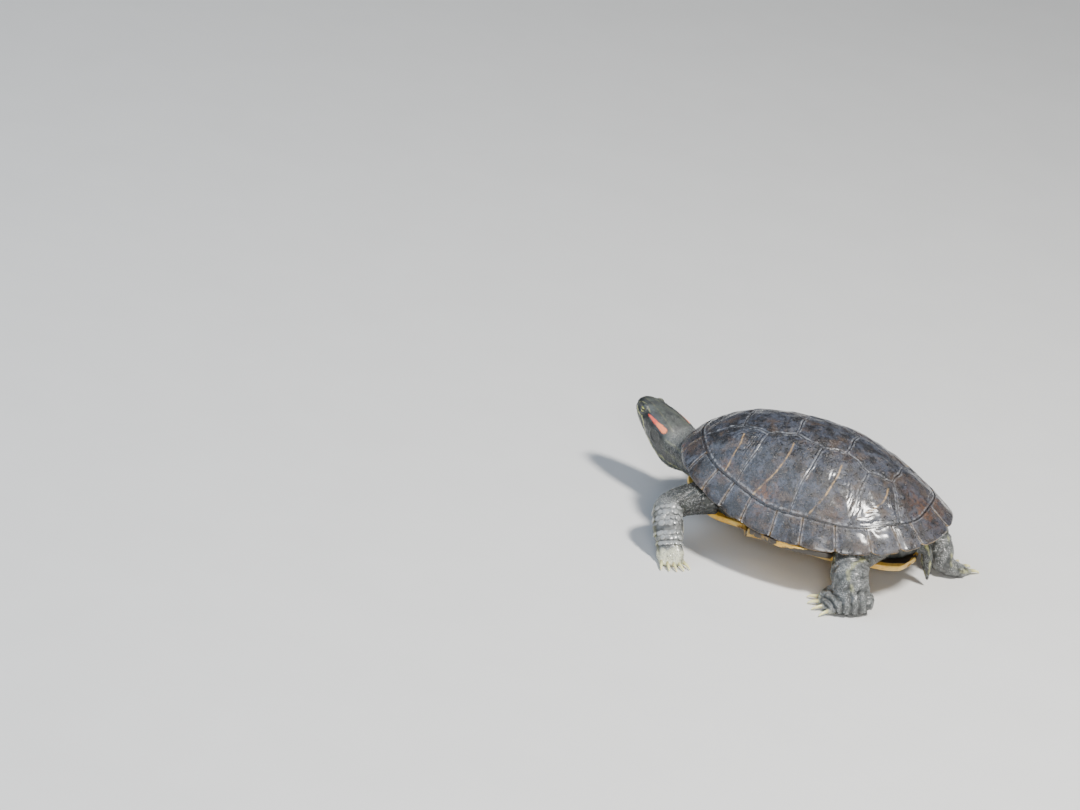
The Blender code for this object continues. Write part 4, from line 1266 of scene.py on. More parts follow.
@dataclass(frozen=True)
class HeadForm:
    """The head's own axes, its cross sections and the places of its features.

    A place on the head is given as back from the snout, to the head's left and up.
    """

    snout: Point = (-33.8, -145.1, 59.8)
    yaw: float = 25.5
    pitch: float = 17.5
    roll: float = -7.0
    # Back from the snout, half width, rise and drop.
    sections: Rows = (
        (0.0, 4.2, 3.0, 4.6), (1.2, 5.8, 4.4, 6.6), (4.0, 8.0, 6.0, 9.2), (10.0, 10.7, 8.2, 12.3),
        (18.0, 13.0, 9.3, 15.0), (27.0, 15.0, 10.0, 18.7), (36.0, 16.0, 9.8, 21.8), (44.0, 16.6, 8.2, 23.2),
    )
    neck: tuple[tuple[Point, Point], ...] = (
        ((-12.0, -100.0, 45.8), (17.2, 7.0, 21.0)), ((-7.5, -92.5, 45.5), (17.8, 8.4, 17.8)),
        ((-3.0, -84.0, 45.0), (18.5, 11.0, 17.5)), ((0.0, -74.0, 45.0), (19.0, 12.0, 17.0)),
    )
    eye: Point = (11.2, 6.8, 2.5)
    eye_radius: float = 3.8
    # How far the eye's length slants up for each step back.
    eye_slant: float = 0.12
    # The lids' radius about the eye, the upper lid's extra, and the socket's radius.
    lid_radius: float = 4.22
    lid_hood: float = 0.10
    socket_radius: float = 3.1
    # Half the opening's length, and its height over and under the middle, in degrees.
    opening: Point = (43.0, 28.0, 31.0)
    # The eardrum's middle, back and up.
    ear: Pair = (33.0, -1.5)
    gaze: Point = (-0.28, 0.93, 0.25)
    mouth_start: float = -3.6
    mouth_slope: float = -0.123
    mouth_end: float = 20.0

    def axes(self) -> Array:
        """The directions of back, left and up, one a row."""
        yaw, pitch, roll = (math.radians(angle) for angle in (self.yaw, self.pitch, self.roll))
        level = math.cos(pitch)
        forward = np.array([-level * math.sin(yaw), -level * math.cos(yaw), math.sin(pitch)])
        left = np.array([math.cos(yaw), -math.sin(yaw), 0.0])
        up = np.cross(forward, left)
        turned = left * math.cos(roll) + up * math.sin(roll)
        return np.array([-forward, turned, up * math.cos(roll) - left * math.sin(roll)])

    def point(self, place: Array) -> Array:
        """A place on the head as a point of the body."""
        return np.array(self.snout) + np.asarray(place, float) @ self.axes()

    def local(self, points: Array) -> Array:
        """Points of the body as places on the head."""
        return (points - np.array(self.snout)) @ self.axes().T

    def size(self, back: Array) -> tuple[Array, Array, Array]:
        """Half width, rise and drop at a distance back."""
        table = np.array(self.sections)
        return tuple(np.interp(back, table[:, 0], table[:, column]) for column in (1, 2, 3))

    def surface(self, back: float, tilt: float) -> Array:
        """A place on the left side of the head, at an angle in degrees over its side."""
        half, rise, drop = self.size(back)
        c, s = math.cos(math.radians(tilt)), math.sin(math.radians(tilt))
        high = math.copysign(abs(s) ** (2.0 / 2.25), s) * (rise if s > 0.0 else drop)
        return np.array([back, float(half) * c ** (2.0 / 2.25), float(high)])

    def mouth(self, back: Array) -> Array:
        """The height of the mouth's line."""
        return self.mouth_start + self.mouth_slope * back - 0.9 * rising(back, 12.0, 9.0)


@dataclass(frozen=True)
class Toes:
    """How a foot's toes and claws are laid out."""

    count: int
    spread: float
    fan: float
    length: float
    radius: float
    claw_length: float
    claw_radius: float


@dataclass(frozen=True)
class Toe:
    """One toe: where it starts and ends, where its claw is rooted and which way it points."""

    start: Array
    end: Array
    root: Array
    heading: Array


FORE_TOES = Toes(5, 7.3, 20.0, 3.6, 2.2, 9.4, 1.5)
HIND_TOES = Toes(4, 9.2, 26.0, 4.6, 2.6, 9.2, 1.55)


@dataclass(frozen=True)
class Limb:
    """One leg from the body to the foot's tip. A station is a place, a half width and a half thickness."""

    kind: str
    side: str
    leg: tuple[Station, ...]
    foot: tuple[Station, ...]
    wide: Point
    toes: Toes
    folded: bool = False

    def replaced(self) -> tuple[str, ...]:
        """The CAD nodes of the leg's flesh."""
        return tuple(f"{self.kind}{part}_{self.side}" for part in ("leg_upper", "leg_lower", "foot"))

    def claws(self) -> tuple[str, ...]:
        """The CAD nodes of the claws."""
        return tuple(f"{self.kind}claw_{self.side}_{index + 1}" for index in range(self.toes.count))

    def toe_layout(self) -> list[Toe]:
        """Where each toe runs, from one side of the foot to the other."""
        toes = self.toes
        tip = np.array(self.foot[-1][:3])
        ahead = tip - np.array(self.foot[-2][:3])
        ahead[2] = 0.0
        ahead = unit(ahead)
        across = np.cross([0.0, 0.0, 1.0], ahead)
        made = []
        for index in range(toes.count):
            share = 2.0 * index / (toes.count - 1) - 1.0
            turn = math.radians(toes.fan * share)
            heading = ahead * math.cos(turn) + across * math.sin(turn)
            root = tip + across * toes.spread * share - ahead * (1.5 + 1.8 * share * share)
            start = np.array([root[0], root[1], toes.radius + 0.35]) - heading * 2.0
            end = start + heading * (toes.length + 2.0)
            made.append(Toe(start, end, end - heading * 1.2 + np.array([0.0, 0.0, 0.25]), heading))
        return made


FORE_LEFT = Limb(
    "fore", "left",
    ((42.0, -62.0, 37.0, 13.0, 12.0), (50.0, -76.0, 34.0, 11.5, 11.0), (57.0, -84.0, 31.0, 10.5, 10.5),
     (64.0, -88.0, 28.0, 10.4, 9.6), (71.0, -85.5, 24.5, 11.0, 8.0), (77.5, -81.6, 18.0, 11.2, 6.8),
     (81.5, -79.0, 13.4, 10.2, 6.2)),
    ((84.0, -77.3, 9.6, 9.6, 6.0), (88.0, -74.6, 6.2, 10.2, 5.0), (91.4, -72.0, 3.4, 9.9, 3.9),
     (93.3, -70.5, 2.5, 8.5, 2.9)),
    (-0.3, 0.93, 0.18), FORE_TOES,
)
FORE_RIGHT = Limb(
    "fore", "right",
    ((-42.0, -62.0, 37.0, 13.0, 12.0), (-50.0, -74.0, 34.0, 11.5, 11.0), (-56.0, -80.5, 31.0, 10.5, 10.5),
     (-62.0, -85.0, 28.0, 10.4, 9.6), (-69.0, -88.5, 23.5, 11.0, 8.0), (-76.0, -92.4, 17.0, 11.2, 6.8),
     (-80.5, -95.2, 12.8, 10.2, 6.2)),
    ((-83.6, -97.2, 9.4, 9.6, 6.0), (-87.6, -100.2, 6.2, 10.2, 5.0), (-91.0, -102.8, 3.2, 9.9, 3.9),
     (-93.0, -104.3, 2.3, 8.5, 2.9)),
    (-0.55, 0.83, 0.0), FORE_TOES,
)
HIND_LEFT = Limb(
    "hind", "left",
    ((33.0, 58.0, 38.0, 14.5, 11.5), (44.0, 51.5, 34.5, 14.0, 12.5), (55.0, 47.5, 30.0, 13.4, 13.2),
     (64.0, 48.5, 25.0, 13.6, 13.8), (71.0, 52.0, 20.0, 13.6, 13.0), (74.5, 57.0, 14.5, 12.8, 11.6)),
    ((72.8, 67.5, 8.0, 8.8, 7.2), (75.6, 61.0, 9.6, 12.6, 9.6), (79.6, 51.5, 9.0, 14.6, 8.8),
     (82.6, 44.2, 6.8, 14.0, 6.0), (85.4, 39.8, 4.8, 11.6, 3.8)),
    (0.91, 0.35, -0.22), HIND_TOES, folded=True,
)
HIND_RIGHT = Limb(
    "hind", "right",
    ((-32.0, 58.0, 40.0, 15.5, 13.0), (-36.0, 69.0, 35.0, 13.6, 12.0), (-36.5, 78.0, 30.0, 12.2, 11.2),
     (-35.0, 85.0, 25.0, 12.4, 10.4), (-31.0, 90.6, 18.4, 11.8, 9.6), (-28.0, 94.6, 12.8, 11.2, 9.0)),
    ((-27.5, 97.0, 9.2, 10.8, 7.8), (-31.0, 100.2, 6.6, 12.4, 6.4), (-36.2, 102.9, 4.5, 13.4, 5.0),
     (-40.6, 104.6, 3.3, 12.6, 3.8), (-43.2, 105.5, 2.6, 10.4, 3.0)),
    (0.6, 0.8, 0.0), HIND_TOES,
)
LIMBS = (FORE_LEFT, FORE_RIGHT, HIND_LEFT, HIND_RIGHT)
# How many numbers each limb has for its parts: the leg's first, then the folded foot's and the toes'.
PARTS = 10


# pale, cream, red and ripe are the skin's own colours; the fifth is painted sheen; shade is painted shade,
# with a few real dark marks.
MARKS = ("pale", "cream", "red", "ripe", "light", "shade")


class Zone(Enum):
    """A stretch of the skin with its own relief, marks and scales."""

    HEAD = 0
    TRUNK = 1
    FORE = 2
    HIND = 3
    HIND_SOLE = 4
    TOE = 5
    TAIL = 6


# How a tube's end rounds off: the angles of its extra sections.
END_TURNS = (18.0, 36.0, 54.0, 70.0, 82.0)


def station_arrays(stations: tuple[Station, ...]) -> tuple[Array, Array]:
    """The stations' places, and the half width, rise and drop at each."""
    table = np.array(stations)
    return table[:, :3], table[:, [3, 4, 4]]


@dataclass
class Tube:
    """A stretch of flesh swept along stations, with its own measure along and round it.

    Sizes are half width, rise and drop; wide is the direction of the width.
    """

    places: Array
    sizes: Array
    wide: Array
    zone: Zone
    part: int
    steps: int = 8
    columns: int = 56
    power: float = 2.25
    round_start: float = 0.0
    round_end: float = 0.0
    inset: float = 0.25

    def sections(self) -> tuple[Array, Array]:
        """The places and sizes of the fine sections, the rounded ends included."""
        places = smooth_path(self.places, self.steps)
        sizes = np.maximum(smooth_path(self.sizes, self.steps) - self.inset, 0.3)
        for at_start, reach in ((True, self.round_start), (False, self.round_end)):
            if reach <= 0.0:
                continue
            end, inner = (places[0], places[1]) if at_start else (places[-1], places[-2])
            size = sizes[0] if at_start else sizes[-1]
            outward = unit(end - inner)
            turns = np.radians(END_TURNS)[:, None]
            more = end + outward * reach * np.sin(turns)
            less = size * np.cos(turns)
            if at_start:
                places, sizes = np.vstack([more[::-1], places]), np.vstack([less[::-1], sizes])
            else:
                places, sizes = np.vstack([places, more]), np.vstack([sizes, less])
        return places, sizes

    def grid(self) -> Array:
        """The swept points, one row a section."""
        sizes = self.sections()[1]
        places, _, _, side, up = self.frames()
        turn = np.linspace(0.0, 2.0 * math.pi, self.columns + 1)[:-1]
        c, s = np.cos(turn), np.sin(turn)
        exponent = 2.0 / self.power
        across = np.sign(c) * np.abs(c) ** exponent
        high = np.sign(s) * np.abs(s) ** exponent
        tall = np.where(s[None, :] > 0.0, sizes[:, 1:2], sizes[:, 2:3])
        points = places[:, None] + side[:, None] * (sizes[:, :1] * across)[..., None]
        return points + up[:, None] * (tall * high)[..., None]

    def frames(self) -> tuple[Array, Array, Array, Array, Array]:
        """The sections' places, distances along, tangents, sides and ups."""
        places = self.sections()[0]
        tangents = unit(np.gradient(places, axis=0))
        side = unit(self.wide - (tangents @ self.wide)[:, None] * tangents)
        return places, run_along(places), tangents, side, np.cross(side, tangents)

    def measure(self, points: Array) -> tuple[Array, Array, Array]:
        """Where points lie on the tube.

        Args:
            points: places near it.

        Returns:
            Millimetres along from its first station, the angle round it and the direction along it.
        """
        places, along, tangents, side, up = self.frames()
        start = int(np.argmin(np.linalg.norm(places - self.places[0], axis=1)))
        best = np.full(len(points), np.inf)
        found_t = np.zeros(len(points))
        found_i = np.zeros(len(points), int)
        found_share = np.zeros(len(points))
        for index, (a, b) in enumerate(zip(places, places[1:])):
            step = b - a
            share = np.clip(((points - a) @ step) / max(step @ step, 1e-9), 0.0, 1.0)
            gap = np.linalg.norm(points - a - share[:, None] * step, axis=1)
            closer = gap < best
            best = np.where(closer, gap, best)
            found_t = np.where(closer, along[index] + share * (along[index + 1] - along[index]), found_t)
            found_i = np.where(closer, index, found_i)
            found_share = np.where(closer, share, found_share)
        share = found_share[:, None]
        middle, ahead, across, over = (
            rows[found_i] * (1.0 - share) + rows[found_i + 1] * share for rows in (places, tangents, side, up)
        )
        offset = points - middle
        turn = np.arctan2(np.sum(offset * over, axis=1), np.sum(offset * across, axis=1))
        return found_t - along[start], turn, unit(ahead)


@dataclass(frozen=True)
class TailForm:
    """The tail's stations, with a radius at each."""

    stations: tuple[tuple[Point, float], ...] = (
        ((0.0, 74.0, 32.5), 8.4), ((-0.5, 83.0, 29.5), 6.5), ((-0.8, 88.6, 21.5), 4.8),
        ((0.0, 91.4, 13.0), 3.2), ((0.8, 93.4, 4.8), 1.1),
    )


def swing(turn: Array, centre: float) -> Array:
    """How far an angle lies from a centre given in degrees, as degrees without sign."""
    return np.degrees(np.abs(np.angle(np.exp(1j * (turn - math.radians(centre))))))


@dataclass
class Skin:
    """One skin over head, neck, trunk, legs and tail, with lids, mouth, folds and marks modelled in it."""

    form: ShellForm
    plastron: Plastron
    head: HeadForm = HeadForm()
    tail: TailForm = TailForm()
    limbs: tuple[Limb, ...] = LIMBS
    finish: SkinFinish = SkinFinish()
    voxel: float = 0.96
    inset: float = 0.25
    wall_depth: float = 0.06
    shell_gap: float = 0.15
    floor_gap: float = 0.03
    head_fine: float = 33.0
    eye_fine: float = 8.2
    # Pale stripes of the head: strength, half width at either end, and places back and round.
    head_stripes: tuple[tuple[float, float, float, Stripe], ...] = (
        (
            0.90, 0.45, 1.05,
            ((13.0, -3.0), (16.5, -8.0), (21.0, -24.0), (27.5, -33.0), (35.0, -37.0), (44.0, -38.0)),
        ),
        (0.70, 0.35, 0.45, ((2.5, -6.0), (6.5, -8.0), (10.0, -6.0), (13.0, -3.0))),
        (0.65, 0.45, 0.80, ((5.0, -58.0), (14.0, -58.0), (28.0, -62.0), (44.0, -62.0))),
        (0.42, 0.20, 0.30, ((2.5, 24.0), (5.5, 48.0), (12.0, 50.0), (17.5, 42.0))),
        (0.09, 0.25, 0.40, ((1.0, 80.0), (12.0, 76.0), (30.0, 68.0), (44.0, 62.0))),
        (0.75, 0.60, 0.90, ((3.0, -84.0), (12.0, -84.0), (24.0, -78.0), (44.0, -76.0))),
    )
    # Pale stripes of the neck: place round it in degrees, half width in degrees and strength.
    neck_stripes: Rows = (
        (14.0, 2.2, 0.12), (-12.0, 1.8, 0.16), (-40.0, 3.2, 0.55), (-58.0, 3.0, 0.55), (-77.0, 3.0, 0.6),
    )
    tubes: list[Tube] = field(default_factory=list)

    # ---- the parts

    def head_tube(self) -> Tube:
        """Head and neck in one sweep from the snout back."""
        head = [self.head.point((back, 0.0, 0.0)) for back, *_ in self.head.sections]
        places = np.array(head + [np.array(place) for place, _ in self.head.neck])
        sizes = [section[1:] for section in self.head.sections] + [size for _, size in self.head.neck]
        return Tube(
            places, np.array(sizes), self.head.axes()[1], Zone.HEAD, 0, columns=72, round_start=0.9,
            inset=self.inset,
        )

    @staticmethod
    def leg_tube(limb: Limb, part: int = 0, inset: float = 0.25) -> Tube:
        """The leg, with its foot unless that is folded under it."""
        places, sizes = station_arrays(limb.leg if limb.folded else limb.leg + limb.foot)
        zone = Zone.FORE if limb.kind == "fore" else Zone.HIND
        end = 5.0 if limb.folded else 2.2
        wide = np.array(limb.wide)
        return Tube(places, sizes, wide, zone, part, round_start=3.0, round_end=end, inset=inset)

    def limb_tubes(self, limb: Limb, part: int) -> list[Tube]:
        """The leg and foot, and the toes."""
        made = [self.leg_tube(limb, part, self.inset)]
        if limb.folded:
            made.append(
                Tube(*station_arrays(limb.foot), np.array(limb.wide), Zone.HIND_SOLE, part + 1,
                     round_start=4.5, round_end=2.2, inset=self.inset)
            )
        for index, toe in enumerate(limb.toe_layout()):
            radius = limb.toes.radius
            inside = toe.start - toe.heading * 3.0
            places = np.array([inside, toe.start, 0.5 * (toe.start + toe.end), toe.end])
            sizes = np.array([[1.02 * radius] * 3, [radius] * 3, [0.98 * radius] * 3, [0.88 * radius] * 3])
            sizes[:, 1:] *= 0.92
            across = np.cross([0.0, 0.0, 1.0], toe.heading)
            made.append(
                Tube(places, sizes, across, Zone.TOE, part + 2 + index, steps=5, columns=28, power=2.0,
                     round_start=1.5, round_end=1.1, inset=0.1)
            )
        return made

    def tail_tube(self) -> Tube:
        """The tail."""
        places = np.array([place for place, _ in self.tail.stations])
        sizes = np.array([[radius] * 3 for _, radius in self.tail.stations])
        return Tube(
            places, sizes, np.array([1.0, 0.0, 0.0]), Zone.TAIL, 6 * PARTS, columns=40, power=2.0,
            round_start=3.0, round_end=1.0, inset=0.1,
        )

    @staticmethod
    def wall_reach(angle: Array) -> Array:
        """How far out the flesh between the shells comes, as a share of the dome."""
        return 0.845 - 0.13 * np.sin(2.0 * angle) ** 2

    def trunk(self) -> Surface:
        """The flesh that fills the shell's openings, drawn up to the shell over it and below it."""
        angle = np.linspace(-math.pi, math.pi, 241)[:-1]
        levels = np.concatenate([np.linspace(0.1, 0.9, 24), np.linspace(0.92, 1.0, 8)])
        reach = self.wall_reach(angle)
        top, base = [], []
        for level in levels:
            point = self.form.dome(angle, reach * level)
            droop = 1.2 + 4.6 * level**5
            over, under = point.copy(), point.copy()
            over[:, 2] -= self.form.wall + droop
            x = np.minimum(np.abs(point[:, 0]), 45.0)
            shelf = 13.0 * rising(np.abs(point[:, 0]), 40.0, 10.0)
            y = np.clip(point[:, 1], self.plastron.front_end, self.plastron.rear_end)
            under[:, 2] = self.plastron.under(x, y) + self.plastron.wall + 1.2 + shelf
            under[:, 2] = np.minimum(under[:, 2], over[:, 2] - 1.0)
            top.append(over)
            base.append(under)
        wall = [top[-1] + (base[-1] - top[-1]) * share for share in np.linspace(0.0, 1.0, 14)[1:-1]]
        return Surface.tube(np.array(top + wall + base[::-1]))

    # ---- one mesh

    def fuse(self) -> Mesh:
        """All the parts as one closed mesh in millimetres."""
        self.tubes = [self.head_tube()]
        for index, limb in enumerate(self.limbs):
            self.tubes += self.limb_tubes(limb, PARTS * (index + 1))
        self.tubes.append(self.tail_tube())
        parts = [Surface.tube(tube.grid()) for tube in self.tubes] + [self.trunk()]
        holder = bpy.data.objects.new("fusing", Surface.joined(parts).mesh("fusing", 1.0, 0.0))
        bpy.context.scene.collection.objects.link(holder)
        modifier = holder.modifiers.new("fuse", "REMESH")
        modifier.mode = "VOXEL"
        modifier.voxel_size = self.voxel
        modifier.use_smooth_shade = True
        graph = bpy.context.evaluated_depsgraph_get()
        mesh = bpy.data.meshes.new_from_object(holder.evaluated_get(graph), preserve_all_data_layers=False)
        bpy.data.objects.remove(holder)
        mesh.name = "skin"
        points = relax(read_points(mesh), read_edges(mesh), 6, 0.5)
        write_points(mesh, points)
        return mesh

    def trim(self, mesh: Mesh) -> None:
        """Takes away the flesh deep inside the shell and closes the holes it leaves."""
        points = read_points(mesh)
        angle, share = self.form.polar(points[:, 0], points[:, 1])
        inside = points[:, 2] < self.form.ceiling(points[:, 0], points[:, 1])
        inside &= points[:, 2] > self.plastron.level
        hidden = (share < self.wall_reach(angle) - self.wall_depth) & inside
        work = bmesh.new()
        work.from_mesh(mesh)
        work.verts.ensure_lookup_table()
        doomed = [work.verts[index] for index in np.flatnonzero(hidden)]
        bmesh.ops.delete(work, geom=doomed, context="VERTS")
        loose = [vertex for vertex in work.verts if not vertex.link_faces]
        bmesh.ops.delete(work, geom=loose, context="VERTS")
        border = [edge for edge in work.edges if edge.is_boundary]
        bmesh.ops.holes_fill(work, edges=border, sides=0)
        big = [face for face in work.faces if len(face.verts) > 4]
        bmesh.ops.triangulate(work, faces=big)
        self.keep_largest(work)
        work.to_mesh(mesh)
        work.free()

    @staticmethod
    def keep_largest(work: bmesh.types.BMesh) -> None:
        """Takes away all but the largest connected part."""
        seen: set[int] = set()
        groups = []
        for vertex in work.verts:
            if vertex.index in seen:
                continue
            group, queue = [], [vertex]
            seen.add(vertex.index)
            while queue:
                current = queue.pop()
                group.append(current)
                for edge in current.link_edges:
                    other = edge.other_vert(current)
                    if other.index not in seen:
                        seen.add(other.index)
                        queue.append(other)
            groups.append(group)
        groups.sort(key=len)
        for group in groups[:-1]:
            LOG.info("skin: dropped a loose part of %d points", len(group))
            bmesh.ops.delete(work, geom=group, context="VERTS")

    def refine(self, mesh: Mesh, fine: bool) -> None:
        """Halves the faces of the head, or just those by the eyes, mouth and nostrils."""
        points = read_points(mesh)
        near = self.face_share(points, fine) > 0.0
        work = bmesh.new()
        work.from_mesh(mesh)
        work.verts.ensure_lookup_table()
        edges = [edge for edge in work.edges if near[edge.verts[0].index] and near[edge.verts[1].index]]
        bmesh.ops.subdivide_edges(work, edges=edges, cuts=1, use_grid_fill=True)
        work.to_mesh(mesh)
        work.free()
        points = read_points(mesh)
        write_points(mesh, relax(points, read_edges(mesh), 3, 0.5 * self.face_share(points, fine)))

    def face_share(self, points: Array, fine: bool) -> Array:
        """How far inside the head, or inside the parts of it with fine shapes, each point lies."""
        local = self.head.local(points)
        back, left, up = local.T
        on_head = (np.abs(left) < 20.0) & (np.abs(up) < 20.0)
        if not fine:
            return rising(self.head_fine, back, 3.0) * on_head
        to_eye = np.linalg.norm(on_left(local) - np.array(self.head.eye), axis=1)
        eyes = rising(self.eye_fine, to_eye, 1.5)
        mouth = rising(2.2, np.abs(up - self.head.mouth(back)), 0.8) * (back < self.head.mouth_end + 1.5)
        nose = rising(2.6, back, 0.8)
        return np.maximum.reduce([eyes, mouth, nose]) * on_head

    def parts_of(self, points: Array) -> Array:
        """Which tube each point lies on, by number in the list; the trunk comes after the last."""
        samples, owners = [], []
        for index, tube in enumerate(self.tubes):
            grid = tube.grid().reshape(-1, 3)
            samples.append(grid)
            owners.append(np.full(len(grid), index))
        trunk = self.trunk().points
        samples.append(trunk)
        owners.append(np.full(len(trunk), len(self.tubes)))
        samples, owners = np.vstack(samples), np.concatenate(owners)
        tree = KDTree(len(samples))
        for index, sample in enumerate(samples):
            tree.insert(sample, index)
        tree.balance()
        return owners[[tree.find(point)[1] for point in points]]

    # ---- relief

    def eye_relief(self, points: Array) -> tuple[Array, Array]:
        """Shapes the sockets and the lids.

        Args:
            points: places of the skin.

        Returns:
            The moved places, and how much each belongs to a lid or socket.
        """
        head = self.head
        local = head.local(points)
        belongs = np.zeros(len(points))
        slant = np.array([1.0, 0.0, head.eye_slant])
        wide, high, deep = head.opening
        for sign in (1.0, -1.0):
            centre = np.array(head.eye) * np.array([1.0, sign, 1.0])
            axis = unit(np.array(head.gaze) * np.array([1.0, sign, 1.0]))
            offset = local - centre
            radius = np.linalg.norm(offset, axis=1)
            direction = offset / np.maximum(radius, 1e-6)[:, None]
            facing = direction @ axis
            long_axis = unit(slant - axis * (slant @ axis))
            short_axis = np.cross(axis, long_axis)
            short_axis *= np.sign(short_axis[2])
            theta = np.degrees(np.arccos(np.clip(facing, -1.0, 1.0)))
            first, second = direction @ long_axis, direction @ short_axis
            round_angle = np.arctan2(second, first)
            upper = np.sin(round_angle) > 0.0
            tall = np.where(upper, high, deep)
            rho = theta * np.hypot(np.cos(round_angle) / wide, np.sin(round_angle) / tall)
            lid = head.lid_radius + head.lid_hood * np.where(upper, 1.0, 0.0)
            margin = rising(rho, 0.92, 0.16)
            target = head.socket_radius + (lid - head.socket_radius) * margin
            target -= 0.10 * creases((rho - 1.22) / 0.24, 0.16) * (rho > 1.12) * (rho < 1.9)
            weight = falling(rho, 1.34, 0.62)
            sulcus = 0.30 * hump(rho, 1.72, 0.20)
            close = (radius < 9.5) & (offset @ axis > -2.5)
            moved = radius + (target - radius) * weight - sulcus
            cover = head.eye_radius + 0.55 + 0.25 * hump(rho, 2.1, 0.6)
            moved = np.where((rho > 1.15) & (offset @ axis > -1.0), np.maximum(moved, cover), moved)
            moved = np.where(close, moved, radius)
            local = centre + direction * moved[:, None]
            belongs = np.where(close, np.maximum(belongs, weight), belongs)
        return head.point(local), belongs

    def face_relief(self, local: Array, lids: Array) -> Array:
        """The height to add on the head for mouth, nostrils, ear and wrinkles."""
        back, left, up = local.T
        side = np.abs(left)
        fade = falling(back, 44.0, 4.0)
        gap = up - self.head.mouth(back)
        on_mouth = falling(back - self.head.mouth_end, -2.5, 3.0)
        low = up < 3.0
        groove = -0.62 * hump(gap, -0.1, 0.30) * on_mouth * low
        lip = 0.24 * hump(gap, 0.75, 0.65) * on_mouth * low - 0.20 * hump(gap, -0.95, 0.6) * on_mouth
        corner = -0.35 * np.exp(-((back - self.head.mouth_end) ** 2 + gap**2) / 2.2) * (side > 6.0)
        ear = np.hypot((back - self.head.ear[0]) / 5.2, (up - self.head.ear[1]) / 4.6)
        drum = (-0.45 * falling(ear, 0.80, 0.22) + 0.28 * hump(ear, 1.06, 0.14)) * (side > 8.0)
        brow = 0.25 * hump(up, 6.8, 1.0) * hump(back, 11.0, 4.5) * (side > 3.0)
        plates = -0.10 * self.net(local, 6.5, 3) * (up > 3.0) * falling(back, 26.0, 8.0)
        wander = wave_noise(local, 7.0, 41)
        throat = -0.30 * creases(side / 2.6 + 0.3 * wander, 0.16) * rising(-up, 8.0, 2.5)
        throat *= rising(back, 12.0, 6.0)
        fine = 0.05 * wave_noise(local, 1.9, 42) + 0.06 * wave_noise(local, 3.4, 43)
        quiet = 1.0 - lids
        nose = -0.42 * np.exp(-((side - 1.35) ** 2 + (up - 0.2) ** 2) / 0.16) * (back < 1.4)
        return (groove + lip + corner + drum + brow + plates + throat + fine * quiet + nose) * fade

    @staticmethod
    def net(points: Array, size: float, seed: int) -> Array:
        """A net of narrow lines, 1 on the lines, between cells of about a size."""
        random = np.random.default_rng(seed)
        low, high = points.min(0) - size, points.max(0) + size
        count = np.maximum(1, ((high - low) / size).astype(int) + 1)
        grid = np.stack(np.meshgrid(*[np.arange(number) for number in count], indexing="ij"), axis=-1)
        seeds = low + (grid + random.uniform(0.15, 0.85, grid.shape)) * size
        cell = np.clip(((points - low) / size).astype(int), 0, count - 1)
        nearest = np.full((2, len(points)), np.inf)
        for shift in np.ndindex(3, 3, 3):
            other = np.clip(cell + np.array(shift) - 1, 0, count - 1)
            gap = np.linalg.norm(points - seeds[other[:, 0], other[:, 1], other[:, 2]], axis=1)
            repeated = np.any(cell + np.array(shift) - 1 != other, axis=1)
            gap = np.where(repeated, np.inf, gap)
            closer = gap < nearest[0]
            second = np.where(closer, nearest[0], np.minimum(nearest[1], gap))
            nearest = np.stack([np.where(closer, gap, nearest[0]), second])
        return hump(nearest[1], nearest[0], 0.12 * size)

    @staticmethod
    def leg_folds(along: Array, turn: Array, wander: Array) -> Array:
        """The loose lengthwise folds of a hind leg, 1 in their depth."""
        return creases(turn * 0.48 + 0.20 * wander + along / 7.5, 0.18) * rising(along, 16.0, 8.0)

    @staticmethod
    def foot_folds(along: Array, turn: Array, wander: Array) -> Array:
        """The folds that fan over a hind foot from its ankle."""
        return creases(along / 6.4 + 0.48 * turn + 0.20 * wander, 0.19)

    def tube_relief(self, tube: Tube, points: Array, along: Array, turn: Array) -> Array:
        """The height to add on one tube for its folds and creases."""
        wander = wave_noise(points, 9.0, 50 + tube.part)
        fine = 0.10 * wave_noise(points, 3.6, 51) + 0.05 * wave_noise(points, 2.1, 52)
        if tube.zone is Zone.HEAD:
            on_neck = rising(along, 40.0, 8.0)
            below = 0.4 + 0.6 * hump(np.sin(turn), -0.3, 0.9)
            rings = -0.50 * creases(along / 5.2 + 0.35 * wander, 0.15) * below
            return (rings + fine) * on_neck
        if tube.zone is Zone.FORE:
            loose = falling(along, 22.0, 12.0)
            lengthwise = -0.75 * creases(turn * 2.2 + 0.25 * wander + 0.02 * along, 0.16) * loose
            elbow = -0.7 * (hump(along, 31.0, 0.9) + hump(along, 35.5, 0.8))
            elbow *= 0.3 + 0.7 * (np.sin(turn) > 0.0)
            forearm = -0.55 * hump(along + 2.0 * np.cos(turn), 47.5, 0.7) - 0.6 * hump(along, 63.0, 0.8)
            forearm -= 0.4 * hump(along, 57.0, 0.6)
            digits = -0.55 * creases(np.cos(turn) * 2.5 + 0.5, 0.14) * rising(along, 72.0, 5.0)
            return lengthwise + elbow + forearm + fine + digits * (np.sin(turn) < 0.3)
        if tube.zone is Zone.HIND:
            loose = falling(along, 30.0, 14.0)
            return fine - 1.3 * self.leg_folds(along, turn, wander) * (0.6 + 0.4 * loose)
        if tube.zone is Zone.HIND_SOLE:
            return fine - 1.9 * self.foot_folds(along, turn, wander)
        if tube.zone is Zone.TOE:
            return -0.22 * creases(along / 1.7, 0.16) * (np.sin(turn) < 0.0)
        if tube.zone is Zone.TAIL:
            return -0.28 * creases(along / 2.6 + 0.12 * wander, 0.16) + 0.5 * fine
        return fine

    # ---- marks

    def head_marks(self, local: Array, turn: Array) -> dict[str, Array]:
        """The stripes, the ear patch and the pale jaw, with painted sheen over the top and painted shade
        under the head and neck, as values from 0 to 1.
        """
        folded = on_left(local)
        back, left, up = local.T
        wander = 0.30 * wave_noise(local, 5.0, 61) + 0.15 * wave_noise(local, 2.0, 62)

